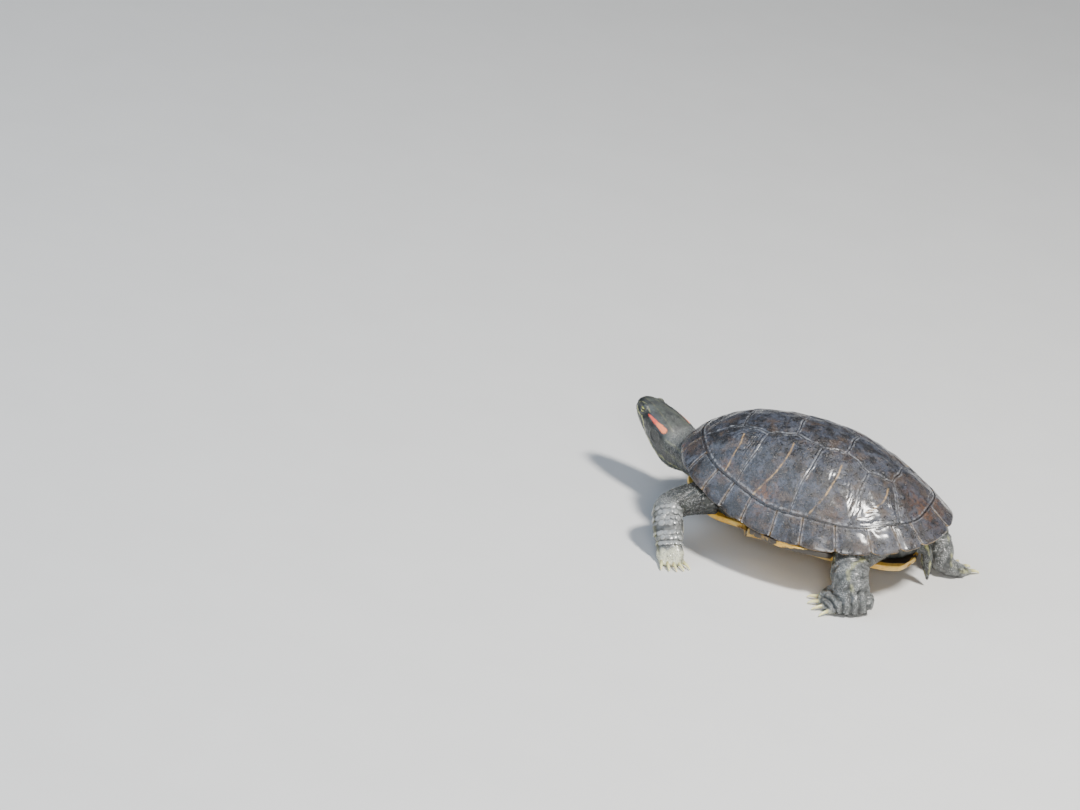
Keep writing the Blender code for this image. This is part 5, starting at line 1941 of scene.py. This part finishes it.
        def stripe(places: Stripe, narrow: float, broad: float) -> Array:
            """A stripe through places on the head that broadens from its start to its end."""
            line = smooth_path(np.array([self.head.surface(*place) for place in places]), 6)
            start, end = places[0][0], places[-1][0]
            share = np.clip((back - start) / (end - start), 0.0, 1.0)
            reach = narrow + (broad - narrow) * share
            return 1.0 - smooth_step((line_distance(folded, line) + wander * 0.6 - reach) / 0.35 + 0.5)

        red = stripe(((19.5, 33.0), (25.0, 35.0), (31.0, 38.0), (36.5, 40.0)), 0.75, 2.25)
        pale = np.zeros(len(local))
        for strength, narrow, broad, places in self.head_stripes:
            pale = np.maximum(pale, strength * stripe(places, narrow, broad))
        fade = falling(back, 40.0, 4.0)
        neck = np.zeros(len(local))
        for centre, width, strength in self.neck_stripes:
            for middle in (centre, 180.0 - centre):
                off = swing(turn, middle) + 4.0 * wander
                neck = np.maximum(neck, strength * (1.0 - smooth_step((off - width) / 2.4 + 0.5)))
        pale = np.maximum(pale * fade, neck * (1.0 - fade))
        jaw = self.head.mouth(back) - up
        lip = 0.35 * hump(jaw, 0.9, 0.8) * (back < 14.0)
        from_ear = np.hypot((back - self.head.ear[0]) / 6.2, (up - self.head.ear[1]) / 5.2)
        dull = hump(from_ear, 0.0, 0.9) * (np.abs(left) > 8.0)
        mouth = hump(jaw, 0.0, 0.28) * (back < self.head.mouth_end) * (up < 3.0)
        # Painted sheen over the top of the neck, and through crown over the top of the head.
        high = rising(np.sin(turn), -0.1, 0.5)
        # Painted shade on the lower side of the head and the neck, kept off the pale stripes.
        low = rising(-up, 1.0, 5.0) * rising(back, 10.0, 8.0)
        low *= 1.0 - 0.8 * np.clip(pale, 0.0, 1.0)
        crown = 0.12 * rising(up, 3.0, 4.0) * (1.0 - red)
        dark = np.maximum(0.8 * mouth, 0.70 * dull)
        return {
            "red": red * fade,
            "ripe": rising(back, 23.0, 11.0),
            "pale": pale,
            "cream": lip * fade,
            "light": crown * fade + 0.42 * high * (1.0 - fade),
            "shade": np.clip(dark * fade + 0.78 * low, 0.0, 1.0) * (1.0 - red),
        }

    def limb_marks(self, tube: Tube, points: Array, along: Array, turn: Array) -> dict[str, Array]:
        """The stripes and pale parts of a leg, a foot or the tail, with painted sheen and painted shade."""
        wander = wave_noise(points, 8.0, 63)
        zero = np.zeros(len(points))
        marks = {"pale": zero, "cream": zero, "light": zero, "shade": zero}

        def line(centre: float, width: float, strength: float) -> Array:
            """A lengthwise stripe round the leg at an angle, with its half width, in degrees."""
            return strength * (1.0 - smooth_step((swing(turn, centre) + 5.0 * wander - width) / 5.0 + 0.5))

        if tube.zone is Zone.FORE:
            # Painted sheen over the forearm, most on its outer side.
            forearm = rising(along, 30.0, 8.0)
            outer = rising(0.35, np.sin(turn), 0.6)
            marks["light"] = forearm * (0.36 + 0.42 * outer) + 0.02
            to_toes = along - 70.0 + 4.0 * wander + 4.0 * np.abs(np.cos(turn))
            marks["cream"] = 0.80 * smooth_step(to_toes / 8.0)
            marks["cream"] = np.maximum(marks["cream"], 0.8 * hump(along, 53.0, 3.0) * line(8.0, 14.0, 1.0))
            marks["pale"] = np.maximum(line(8.0, 8.0, 0.75), line(200.0, 5.0, 0.45)) * forearm
            front_line = line(205.0, 6.0, 0.8) * forearm * falling(along, 70.0, 6.0)
            # Painted shade in the folds across the forearm and between the digits; front_line is a dark
            # stripe down the front.
            folds = np.maximum(hump(along + 2.0 * np.cos(turn), 53.5, 1.1), hump(along, 68.0, 1.1))
            between = creases(np.cos(turn) * 2.5 + 0.5, 0.10) * rising(along, 72.0, 5.0)
            marks["shade"] = np.maximum(np.maximum(front_line, 0.8 * folds), 0.6 * between)
            # Painted shade on the upper arm, under the shell's rim.
            marks["shade"] = np.maximum(marks["shade"], 0.5 * (1.0 - forearm))
        elif tube.zone is Zone.HIND:
            stripes = np.maximum(line(-100.0, 4.0, 0.7), line(-128.0, 4.0, 0.6))
            marks["pale"] = np.maximum(stripes, line(10.0, 4.0, 0.4)) * rising(along, 18.0, 12.0)
            # Painted sheen, more away from the shell, and painted shade in the folds.
            marks["light"] = 0.16 + 0.44 * rising(along, 14.0, 14.0)
            marks["shade"] = 0.95 * self.leg_folds(along, turn, wander)
        elif tube.zone is Zone.HIND_SOLE:
            # Painted sheen on the foot and painted shade in its folds.
            marks["light"] = zero + 0.54
            marks["shade"] = 0.95 * self.foot_folds(along, turn, wander)
            marks["pale"] = np.maximum(line(185.0, 6.0, 0.5), line(150.0, 3.5, 0.35))
        elif tube.zone is Zone.TOE:
            marks["cream"] = zero + (0.8 if tube.part < 3 * PARTS else 0.25)
            # Painted sheen on the toes.
            marks["light"] = zero + 0.35
        elif tube.zone is Zone.TAIL:
            stripes = np.maximum(line(55.0, 5.0, 0.8), line(125.0, 5.0, 0.8))
            marks["pale"] = np.maximum(stripes, np.maximum(line(-40.0, 4.0, 0.6), line(220.0, 4.0, 0.6)))
        return marks

    def clear(self, points: Array) -> Array:
        """Keeps the skin out of the shell and over the floor."""
        x, y, z = points.T
        ceiling = self.form.ceiling(x, y) - self.shell_gap
        z = np.where(z > 30.0, np.minimum(z, np.where(ceiling < 0.5 * NO_SHELL, ceiling, z)), z)
        inner_y = np.clip(y, self.plastron.front_end, self.plastron.rear_end)
        within = (np.abs(x) < self.plastron.half(inner_y) + 1.2) & (y > self.plastron.front_end - 1.0)
        within &= (y < self.plastron.rear_end + 1.0) & (z > self.plastron.level)
        floor = self.plastron.under(x, inner_y) + self.plastron.wall + self.shell_gap
        z = np.where(within, np.maximum(z, np.minimum(floor, ceiling)), z)
        return np.stack([x, y, np.maximum(z, self.floor_gap)], axis=1)

    # ---- the skin

    def build(self) -> tuple[Object, Material]:
        """Makes the skin and hands it back with the finish of its scales."""
        mesh = self.fuse()
        self.trim(mesh)
        self.refine(mesh, False)
        self.refine(mesh, True)
        points = read_points(mesh)
        owners = self.parts_of(points)
        count = len(points)
        height = 0.35 * wave_noise(points, 7.0, 71) * (owners == len(self.tubes))
        along, turn, flow = np.zeros(count), np.zeros(count), np.zeros((count, 3))
        values = {name: np.zeros(count) for name in (*MARKS, "zone", "tile")}
        values["zone"][:] = Zone.TRUNK.value
        for index, tube in enumerate(self.tubes):
            mine = owners == index
            if not mine.any():
                continue
            along[mine], turn[mine], flow[mine] = tube.measure(points[mine])
            height[mine] = self.tube_relief(tube, points[mine], along[mine], turn[mine])
            if tube.zone is Zone.HEAD:
                marks = self.head_marks(self.head.local(points[mine]), turn[mine])
            else:
                marks = self.limb_marks(tube, points[mine], along[mine], turn[mine])
            for name, value in marks.items():
                values[name][mine] = value
            values["zone"][mine] = tube.zone.value
            values["tile"][mine] = tube.part // PARTS
        edges = read_edges(mesh)
        points, lids = self.eye_relief(points)
        write_points(mesh, points)
        on_head = (owners == 0).astype(float)
        height = height + self.face_relief(self.head.local(points), lids) * on_head
        moved = points + read_normals(mesh) * height[:, None]
        moved = self.clear(moved)
        write_points(mesh, moved)
        soft = np.where(owners == len(self.tubes), 0.5, 0.0)
        write_points(mesh, relax(moved, edges, 3, soft))
        for name in ("pale", "cream", "light", "shade"):
            spread = relax(np.repeat(values[name][:, None], 3, axis=1), edges, 1, 0.5)
            values[name] = spread[:, 0]
        near_lid = smooth_step(lids * 1.5)
        values["shade"] = np.clip(values["shade"] + 0.35 * near_lid, 0.0, 1.0)
        fine_head = rising(self.head.local(moved)[:, 0], 16.0, 18.0)
        values["grain"] = np.where(owners == 0, 0.25 + 0.75 * fine_head, 1.0)
        for name, value in values.items():
            if name != "tile":
                set_value(mesh, name, value)
        set_vectors(mesh, "flow", flow)
        set_vectors(mesh, "root_uv", self.unwrap(values["tile"], along, turn))
        set_value(mesh, "along", along)
        set_value(mesh, "turn", turn)
        write_points(mesh, (read_points(mesh) + SHIFT) * MM)
        mesh.shade_smooth()
        material = self.finish.material(SkinLayer.SKIN)
        replaced = ["trunk", "neck", "head", "jaw", "tail"]
        for limb in self.limbs:
            replaced += limb.replaced()
        skin = add_piece("skin", mesh, material, tuple(replaced))
        return skin, self.finish.material(SkinLayer.SCALES)

    @staticmethod
    def unwrap(tile: Array, along: Array, turn: Array) -> Array:
        """A place on a flat unwrap of the body: one tile for each limb, length by turn."""
        columns, rows = 3.0, 3.0
        across = 0.02 + 0.96 * np.clip((along + 4.0) / 100.0, 0.0, 1.0)
        round_it = 0.02 + 0.96 * (turn / (2.0 * math.pi) + 0.5) % 1.0
        u = (np.mod(tile, columns) + across) / columns
        v = (np.floor(tile / columns) + round_it) / rows
        return np.stack([u, v, np.zeros(len(u))], axis=1)


# ---------------------------------------------------------------- scales, eyes and claws


class Growth(Nodes):
    """Short hands for building one tree of geometry nodes."""

    def __init__(self, name: str, inputs: dict[str, str]) -> None:
        """Starts a tree that takes a mesh and the named inputs, and gives back geometry."""
        super().__init__(bpy.data.node_groups.new(name, "GeometryNodeTree"))
        for socket, kind in {"Geometry": "Geometry", **inputs}.items():
            self.tree.interface.new_socket(socket, in_out="INPUT", socket_type=f"NodeSocket{kind}")
        self.tree.interface.new_socket("Geometry", in_out="OUTPUT", socket_type="NodeSocketGeometry")
        self.given = self.add("NodeGroupInput", {})

    def named(self, name: str, kind: str) -> Socket:
        """A value that the mesh keeps."""
        return self.add("GeometryNodeInputNamedAttribute", {"Name": name}, data_type=kind)["Attribute"]

    def keep(self, geometry: Socket, name: str, value: Socket, kind: str, domain: str) -> Socket:
        """The geometry with one more value kept on it."""
        inputs = {"Geometry": geometry, "Name": name, "Value": value}
        return self.add("GeometryNodeStoreNamedAttribute", inputs, data_type=kind, domain=domain)[0]


@dataclass
class Coat:
    """Small scales over one stretch of the skin, grown by geometry nodes and then made one mesh."""

    name: str
    zones: tuple[Zone, ...]
    spacing: float
    size: Point
    seed: int
    start: float = 0.0
    tilt: float = -9.0
    patch: float = 0.003
    segments: int = 7
    rings: int = 4
    variation: Pair = (0.78, 1.18)
    sole: float = 1.6
    shell_gap: float = 1.0
    deep: float = 0.72
    # The most painted shade that skin may have and still grow scales, on the hind legs and elsewhere.
    darkest: Pair = (0.30, 0.62)

    def tree(self, material: Material) -> bpy.types.NodeTree:
        """The nodes: points on the skin, a bead on each, laid along the flow."""
        growth = Growth(self.name, {"Spacing": "Float", "Size": "Vector", "Tilt": "Float", "Seed": "Int"})
        add, given = growth.add, growth.given
        roots, turned = self.roots(growth)
        flow = growth.named("flow", "FLOAT_VECTOR")
        aim = {"Rotation": turned, "Vector": flow}
        laid = add("FunctionNodeAlignRotationToVector", aim, axis="X", pivot_axis="Z")
        tip = add("ShaderNodeCombineXYZ", {"Y": given["Tilt"]})
        turn = add("FunctionNodeEulerToRotation", {0: tip[0]})
        tipped = add(
            "FunctionNodeRotateRotation", {"Rotation": laid[0], "Rotate By": turn[0]}, rotation_space="LOCAL"
        )
        fineness = {"Segments": self.segments, "Rings": self.rings}
        bead = add("GeometryNodeMeshUVSphere", {**fineness, "Radius": 0.5})
        place = add("GeometryNodeInputPosition", {})
        marked = growth.keep(bead["Mesh"], "bead_place", place[0], "FLOAT_VECTOR", "POINT")
        least, most = self.variation
        chance = add("FunctionNodeRandomValue", {2: least, 3: most, "Seed": given["Seed"]}, data_type="FLOAT")
        grown = add("ShaderNodeVectorMath", {0: given["Size"], "Scale": chance[1]}, operation="SCALE")
        beads = add(
            "GeometryNodeInstanceOnPoints",
            {"Points": roots, "Instance": marked, "Rotation": tipped[0], "Scale": grown[0]},
        )
        shade = add("FunctionNodeRandomValue", {"Seed": self.seed + 7}, data_type="FLOAT")
        toned = growth.keep(beads[0], "tone", shade[1], "FLOAT", "INSTANCE")
        real = add("GeometryNodeRealizeInstances", {"Geometry": toned})
        dressed = add("GeometryNodeSetMaterial", {"Material": material, "Geometry": real[0]})
        add("NodeGroupOutput", {"Geometry": dressed[0]})
        return growth.tree

    def roots(self, growth: Growth) -> tuple[Socket, Socket]:
        """The points that the scales stand on, spread evenly over the skin, and how each is turned."""
        spacing = growth.given["Spacing"]
        area = growth.add("ShaderNodeMath", {0: spacing, 1: spacing}, operation="MULTIPLY")
        density = growth.add("ShaderNodeMath", {0: 2.0, 1: area[0]}, operation="DIVIDE")
        inputs = {
            "Mesh": growth.given["Geometry"], "Distance Min": spacing, "Density Max": density[0],
            "Density Factor": growth.named("bead", "FLOAT"), "Seed": growth.given["Seed"],
        }
        spread = growth.add("GeometryNodeDistributePointsOnFaces", inputs, distribute_method="POISSON")
        return spread["Points"], spread["Rotation"]

    def ground(self, skin: Object, form: ShellForm) -> Mesh:
        """The mesh that the nodes start from."""
        set_value(skin.data, "bead", self.mask(skin.data, form))
        return skin.data

    def mask(self, skin: Mesh, form: ShellForm) -> Array:
        """Where the scales grow: in the coat's zones, off the soles and clear of the shell."""
        zone = read_values(skin, "zone")
        points = read_points(skin) / MM - SHIFT
        normals = read_normals(skin)
        inside = np.isin(np.round(zone), [item.value for item in self.zones]).astype(float)
        foot = np.round(zone) == Zone.HIND_SOLE.value
        inside *= np.maximum(rising(read_values(skin, "along"), self.start, 5.0), foot)
        x, y, z = points.T
        sole = (z < self.sole) | ((z < 2.5 * self.sole) & (normals[:, 2] < -0.5))
        near_shell = form.ceiling(x, y) - z < self.shell_gap
        deep = (form.polar(x, y)[1] < self.deep) & (z > 22.0)
        hind = np.isin(np.round(zone), (Zone.HIND.value, Zone.HIND_SOLE.value))
        inside *= read_values(skin, "shade") < np.where(hind, *self.darkest)
        plated = np.round(zone) == Zone.FORE.value
        plated &= on_arm_plates(read_values(skin, "along"), read_values(skin, "turn"))
        return inside * ~sole * ~near_shell * ~deep * ~plated

    def grow(self, skin: Object, form: ShellForm, material: Material) -> Object:
        """Grows the scales and adds them as a piece."""
        holder = bpy.data.objects.new("growing", self.ground(skin, form))
        bpy.context.scene.collection.objects.link(holder)
        modifier = holder.modifiers.new("scales", "NODES")
        tree = self.tree(material)
        modifier.node_group = tree
        given = {"Spacing": self.spacing * MM, "Size": [size * MM for size in self.size],
                 "Tilt": math.radians(self.tilt), "Seed": self.seed}
        for item in tree.interface.items_tree:
            if item.in_out == "INPUT" and item.name in given:
                modifier[item.identifier] = given[item.name]
        holder.update_tag()
        graph = bpy.context.evaluated_depsgraph_get()
        graph.update()
        mesh = bpy.data.meshes.new_from_object(holder.evaluated_get(graph))
        holder.modifiers.remove(modifier)
        bpy.data.objects.remove(holder)
        bpy.data.node_groups.remove(tree)
        mesh.name = self.name
        finish_scales(mesh, self.patch)
        return add_piece(self.name, mesh, material)


# Where the broad plates lie on a fore leg: how far along it and the degrees round it. A fold parts them.
ARM_PLATES = (40.0, 66.5)
ARM_PLATE_SIDE = (188.0, 352.0)
ARM_FOLD = 54.0


def on_arm_plates(along: Array, turn: Array) -> Array:
    """Whether places on a fore leg are under its broad plates."""
    degrees = np.mod(np.degrees(turn), 360.0)
    low, high = ARM_PLATE_SIDE
    return (along > ARM_PLATES[0] - 1.0) & (along < ARM_PLATES[1]) & (degrees > low) & (degrees < high)


@dataclass
class ArmPlates(Coat):
    """Broad overlapping plates down the outer side of the forearms, in staggered rows."""

    row_pitch: float = 3.3
    plate_pitch: float = 4.0
    girth: float = 56.0

    def roots(self, growth: Growth) -> tuple[Socket, Socket]:
        """The points of the rows, each turned to stand on the skin."""
        points = growth.add("GeometryNodeMeshToPoints", {"Mesh": growth.given["Geometry"]})
        normal = growth.named("normal", "FLOAT_VECTOR")
        return points[0], growth.add("FunctionNodeAlignRotationToVector", {"Vector": normal}, axis="Z")[0]

    def mask(self, skin: Mesh, form: ShellForm) -> Array:
        """The skin under and between the plates."""
        on_leg = np.round(read_values(skin, "zone")) == Zone.FORE.value
        return (on_leg & on_arm_plates(read_values(skin, "along"), read_values(skin, "turn"))).astype(float)

    def ground(self, skin: Object, form: ShellForm) -> Mesh:
        """Points on the skin in rows across each forearm, with the skin's values there."""
        corners = read_points(skin.data)
        faces = [tuple(polygon.vertices) for polygon in skin.data.polygons]
        tree = BVHTree.FromPolygons([tuple(corner) for corner in corners], faces)
        random = np.random.default_rng(self.seed)
        places, normals, flows, spots = [], [], [], []
        for limb in (FORE_LEFT, FORE_RIGHT):
            tube = Skin.leg_tube(limb)
            middle, along, tangents, side, up = tube.frames()
            start = float(along[np.argmin(np.linalg.norm(middle - tube.places[0], axis=1))])
            rows = np.arange(ARM_PLATES[0] + 0.8, ARM_PLATES[1] - 1.0, self.row_pitch)
            rows = rows[np.abs(rows - ARM_FOLD) > 1.5]
            for number, row in enumerate(rows):
                spot, ahead, across, over = (
                    np.array([np.interp(row + start, along, values[:, axis]) for axis in range(3)])
                    for values in (middle, tangents, side, up)
                )
                step = 360.0 * self.plate_pitch / self.girth
                first, last = ARM_PLATE_SIDE
                turns = np.arange(first + 6.0 + 0.5 * step * (number % 2), last - 2.0, step)
                for turn in np.radians(turns + random.uniform(-2.0, 2.0, len(turns))):
                    centre = spot + ahead * random.uniform(-0.35, 0.35)
                    direction = across * math.cos(turn) + over * math.sin(turn)
                    origin = (centre + SHIFT) * MM
                    hit, normal, face, _ = tree.ray_cast(Vector(origin), Vector(direction), 0.03)
                    if hit is None:
                        continue
                    places.append(tuple(hit))
                    normals.append(tuple(normal))
                    flows.append(ahead)
                    spots.append(faces[face][0])
        mesh = bpy.data.meshes.new("plate_roots")
        mesh.from_pydata(places, [], [])
        set_vectors(mesh, "normal", np.array(normals))
        set_vectors(mesh, "flow", np.array(flows))
        set_vectors(mesh, "root_uv", read_values(skin.data, "root_uv", True)[spots])
        # The plates take the skin's marks, painted sheen and painted shade among them.
        for name in MARKS:
            set_value(mesh, name, read_values(skin.data, name)[spots])
        return mesh


def finish_scales(mesh: Mesh, patch: float) -> None:
    """Lays each scale's small patch on the body's unwrap, and drops what only the nodes needed."""
    root = read_values(mesh, "root_uv", True)
    local = read_values(mesh, "bead_place", True)
    spots = root[:, :2] + patch * local[:, :2]
    while mesh.uv_layers:
        mesh.uv_layers.remove(mesh.uv_layers[0])
    layer = mesh.uv_layers.new(name="OFBake")
    corners = fetch(mesh.loops, "vertex_index", 1, np.int32)
    layer.data.foreach_set("uv", spots[corners].astype(np.float32).ravel())
    for name in ("root_uv", "bead_place", "flow", "normal", "bead", "zone", "along", "turn", "grain"):
        attribute = mesh.attributes.get(name)
        if attribute is not None:
            mesh.attributes.remove(attribute)
    mesh.shade_smooth()


@dataclass
class Eyes:
    """The two eyeballs, with a bulging cornea, set as deep in the head as real ones."""

    head: HeadForm
    finish: EyeFinish = EyeFinish()
    cornea: float = 0.32

    def ball(self, sign: float) -> Surface:
        """One eyeball in millimetres, with the distances that its iris and bar need."""
        centre = self.head.point(np.array(self.head.eye) * np.array([1.0, sign, 1.0]))
        axes = self.head.axes()
        gaze = unit((np.array(self.head.gaze) * np.array([1.0, sign, 1.0])) @ axes)
        long_way = axes[0] + self.head.eye_slant * axes[2]
        along = unit(long_way - gaze * (long_way @ gaze))
        across = np.cross(gaze, along)
        rows = np.concatenate([np.linspace(0.8, 40.0, 32), np.linspace(42.0, 176.0, 34)])
        theta = np.radians(rows)[:, None]
        behind = theta >= 1.6
        turn = np.linspace(0.0, 2.0 * math.pi, 73)[:-1][None, :]
        radius = self.head.eye_radius - 0.05 + self.cornea * falling(theta, 0.12, 0.45)
        spot = np.sin(theta)[..., None] * (np.cos(turn)[..., None] * along + np.sin(turn)[..., None] * across)
        direction = spot + np.cos(theta)[..., None] * gaze
        points = centre + radius[..., None] * direction
        from_axis = np.broadcast_to(np.where(behind, 1.0, np.sin(theta)), points.shape[:2])
        off_bar = np.abs(np.sin(theta) * np.sin(turn)) + 5.0 * behind
        return Surface.tube(points, {"from_axis": from_axis, "off_bar": off_bar})

    def build(self) -> list[Object]:
        """Makes both eyeballs."""
        material = self.finish.material()
        made = []
        for side, sign in (("left", 1.0), ("right", -1.0)):
            name = f"eyeball_{side}"
            made.append(add_piece(name, self.ball(sign).mesh(name), material, (f"eye_{side}",)))
        return made


@dataclass
class Claws:
    """The claws of every foot: curved, pointed and down to the floor."""

    limbs: tuple[Limb, ...] = LIMBS
    finish: ClawFinish = ClawFinish()
    columns: int = 18
    rows: int = 26
    floor_gap: float = 0.35

    def claw(self, toe: Toe, toes: Toes) -> Surface:
        """One claw in millimetres."""
        root, heading = toe.root, toe.heading
        up = np.array([0.0, 0.0, 1.0])
        across = np.cross(up, heading)
        share = np.linspace(0.0, 1.0, self.rows)
        drop = root[2] - self.floor_gap
        places = root + heading * (toes.claw_length * 0.94 * np.sin(0.5 * math.pi * share))[:, None]
        places[:, 2] = root[2] - (drop - 0.1) * share**1.7
        blunt = np.sqrt(1.0 - 0.9 * (np.maximum(share - 0.9, 0.0) / 0.1) ** 2)
        size = toes.claw_radius * (1.0 - 0.86 * share**1.3) * np.where(share > 0.9, blunt, 1.0)
        slope = np.arctan2(1.7 * drop * share**0.7, toes.claw_length * 1.5 * np.cos(0.45 * math.pi * share))
        turn = np.linspace(0.0, 2.0 * math.pi, self.columns + 1)[:-1]
        lift = up[None] * np.cos(slope)[:, None] + heading[None] * np.sin(slope)[:, None]
        wide = 0.85 * size[:, None] * np.cos(turn)
        tall = size[:, None] * np.sin(turn) * np.where(np.sin(turn) < 0.0, 0.8, 1.0)
        grid = places[:, None] + across * wide[..., None] + lift[:, None] * tall[..., None]
        grid[..., 2] = np.maximum(grid[..., 2], 0.04)
        return Surface.tube(grid, {"reach": np.broadcast_to(share[:, None], grid.shape[:2])})

    def build(self) -> list[Object]:
        """Makes one piece for each foot."""
        material = self.finish.material()
        made = []
        for limb in self.limbs:
            name = f"{limb.kind}claws_{limb.side}"
            surface = Surface.joined([self.claw(toe, limb.toes) for toe in limb.toe_layout()])
            made.append(add_piece(name, surface.mesh(name), material, limb.claws()))
        return made


@dataclass
class Flesh:
    """The skin with its scales, eyes and claws."""

    form: ShellForm
    plastron: Plastron
    head: HeadForm = HeadForm()
    coats: tuple[Coat, ...] = (
        Coat("neck_scales", (Zone.HEAD,), 0.72, (0.95, 0.82, 0.30), 3, start=41.0),
        Coat("fore_scales", (Zone.FORE,), 1.00, (1.34, 1.16, 0.36), 4, start=6.0),
        Coat("hind_scales", (Zone.HIND, Zone.HIND_SOLE), 1.06, (1.46, 1.26, 0.46), 5, start=4.0),
        Coat("tail_scales", (Zone.TAIL,), 0.80, (1.08, 0.90, 0.32), 6, start=2.0),
        ArmPlates("arm_plates", (Zone.FORE,), 3.3, (4.5, 4.7, 1.1), 7, tilt=-7.0, segments=16, rings=8),
    )

    def build(self) -> None:
        """Makes everything soft, and what is set in it."""
        skin, scale_finish = Skin(self.form, self.plastron, self.head).build()
        beds = np.zeros(len(skin.data.vertices))
        for coat in self.coats:
            coat.grow(skin, self.form, scale_finish)
            beds = np.maximum(beds, coat.mask(skin.data, self.form))
        # The union also sets where the skin between scales gets its painted shade.
        set_value(skin.data, "bead", beds)
        Eyes(self.head).build()
        Claws().build()


# ---------------------------------------------------------------- studio


@dataclass
class Studio:
    """A pale floor, soft daylight-like lamps and the camera."""

    finish: FloorFinish = FloorFinish()
    azimuth: float = 1.81575697
    elevation: float = 0.413213704
    roll: float = 0.196990551
    distance: float = 3671.6
    slide: Pair = (190.961, -85.079)
    level: float = 19.0
    lens: float = 171.26
    floor_half: float = 6.0
    lamp_distance: float = 2.0
    lamp_aim: float = 0.04
    sky: Colour = (0.80, 0.87, 1.0)
    sky_strength: float = 0.13

    def floor(self) -> None:
        """Lays the floor."""
        side = self.floor_half
        mesh = bpy.data.meshes.new("studio_floor")
        corners = [(-side, -side, 0.0), (side, -side, 0.0), (side, side, 0.0), (-side, side, 0.0)]
        mesh.from_pydata(corners, [], [(0, 1, 2, 3)])
        mesh.materials.append(self.finish.material())
        floor = bpy.data.objects.new("studio_floor", mesh)
        bpy.context.scene.collection.objects.link(floor)

    def camera(self) -> None:
        """Sets the camera, far off and rolled with the animal."""
        cos_el, sin_el = math.cos(self.elevation), math.sin(self.elevation)
        back = Vector((math.sin(self.azimuth) * cos_el, -math.cos(self.azimuth) * cos_el, sin_el))
        right = Vector((0.0, 0.0, 1.0)).cross(back).normalized()
        up = back.cross(right)
        turned_right = right * math.cos(self.roll) + up * math.sin(self.roll)
        turned_up = up * math.cos(self.roll) - right * math.sin(self.roll)
        place = back * self.distance - turned_right * self.slide[0] - turned_up * self.slide[1]
        place += Vector((0.0, SHELL_Y, self.level))
        data = bpy.data.cameras.new("camera")
        data.lens = self.lens
        data.clip_end = 100.0
        camera = bpy.data.objects.new("camera", data)
        axes = Matrix((turned_right, turned_up, back)).transposed().to_4x4()
        camera.matrix_world = Matrix.Translation(place * MM) @ axes
        bpy.context.scene.collection.objects.link(camera)
        bpy.context.scene.camera = camera

    def lamp(self, name: str, toward: Point, size: float, power: float, tint: Colour) -> None:
        """One soft square lamp a way off, facing the animal.

        Args:
            name: the lamp's name.
            toward: the direction that it stands in.
            size: its side in metres.
            power: its power in watts.
            tint: its colour.
        """
        data = bpy.data.lights.new(name, "AREA")
        data.shape = "SQUARE"
        data.size = size
        data.energy = power
        data.color = tint
        lamp = bpy.data.objects.new(name, data)
        direction = Vector(toward).normalized()
        lamp.location = direction * self.lamp_distance + Vector((0.0, 0.0, self.lamp_aim))
        lamp.rotation_euler = direction.to_track_quat("Z", "Y").to_euler()
        bpy.context.scene.collection.objects.link(lamp)

    def build(self) -> None:
        """Lays the floor and sets the lamps, the sky and the camera."""
        self.floor()
        self.lamp("key", (0.18, 0.42, 0.88), 0.30, 84.0, (1.0, 0.97, 0.92))
        self.lamp("sky_fill", (0.5, -0.75, 0.9), 2.2, 30.0, (0.66, 0.80, 1.0))
        self.lamp("side_fill", (1.0, 0.30, 0.42), 0.6, 22.0, (1.0, 0.98, 0.94))
        world = bpy.data.worlds.new("studio")
        world.use_nodes = True
        background = world.node_tree.nodes["Background"]
        background.inputs["Color"].default_value = (*self.sky, 1.0)
        background.inputs["Strength"].default_value = self.sky_strength
        bpy.context.scene.world = world
        self.camera()


def main() -> None:
    """Builds the turtle and its studio."""
    logging.basicConfig(level=logging.INFO, format="%(name)s: %(message)s")
    form = ShellForm()
    Carapace(form).build()
    plastron = Plastron(form)
    plastron.build()
    Flesh(form, plastron).build()
    Studio().build()


if __name__ == "__main__":
    main()
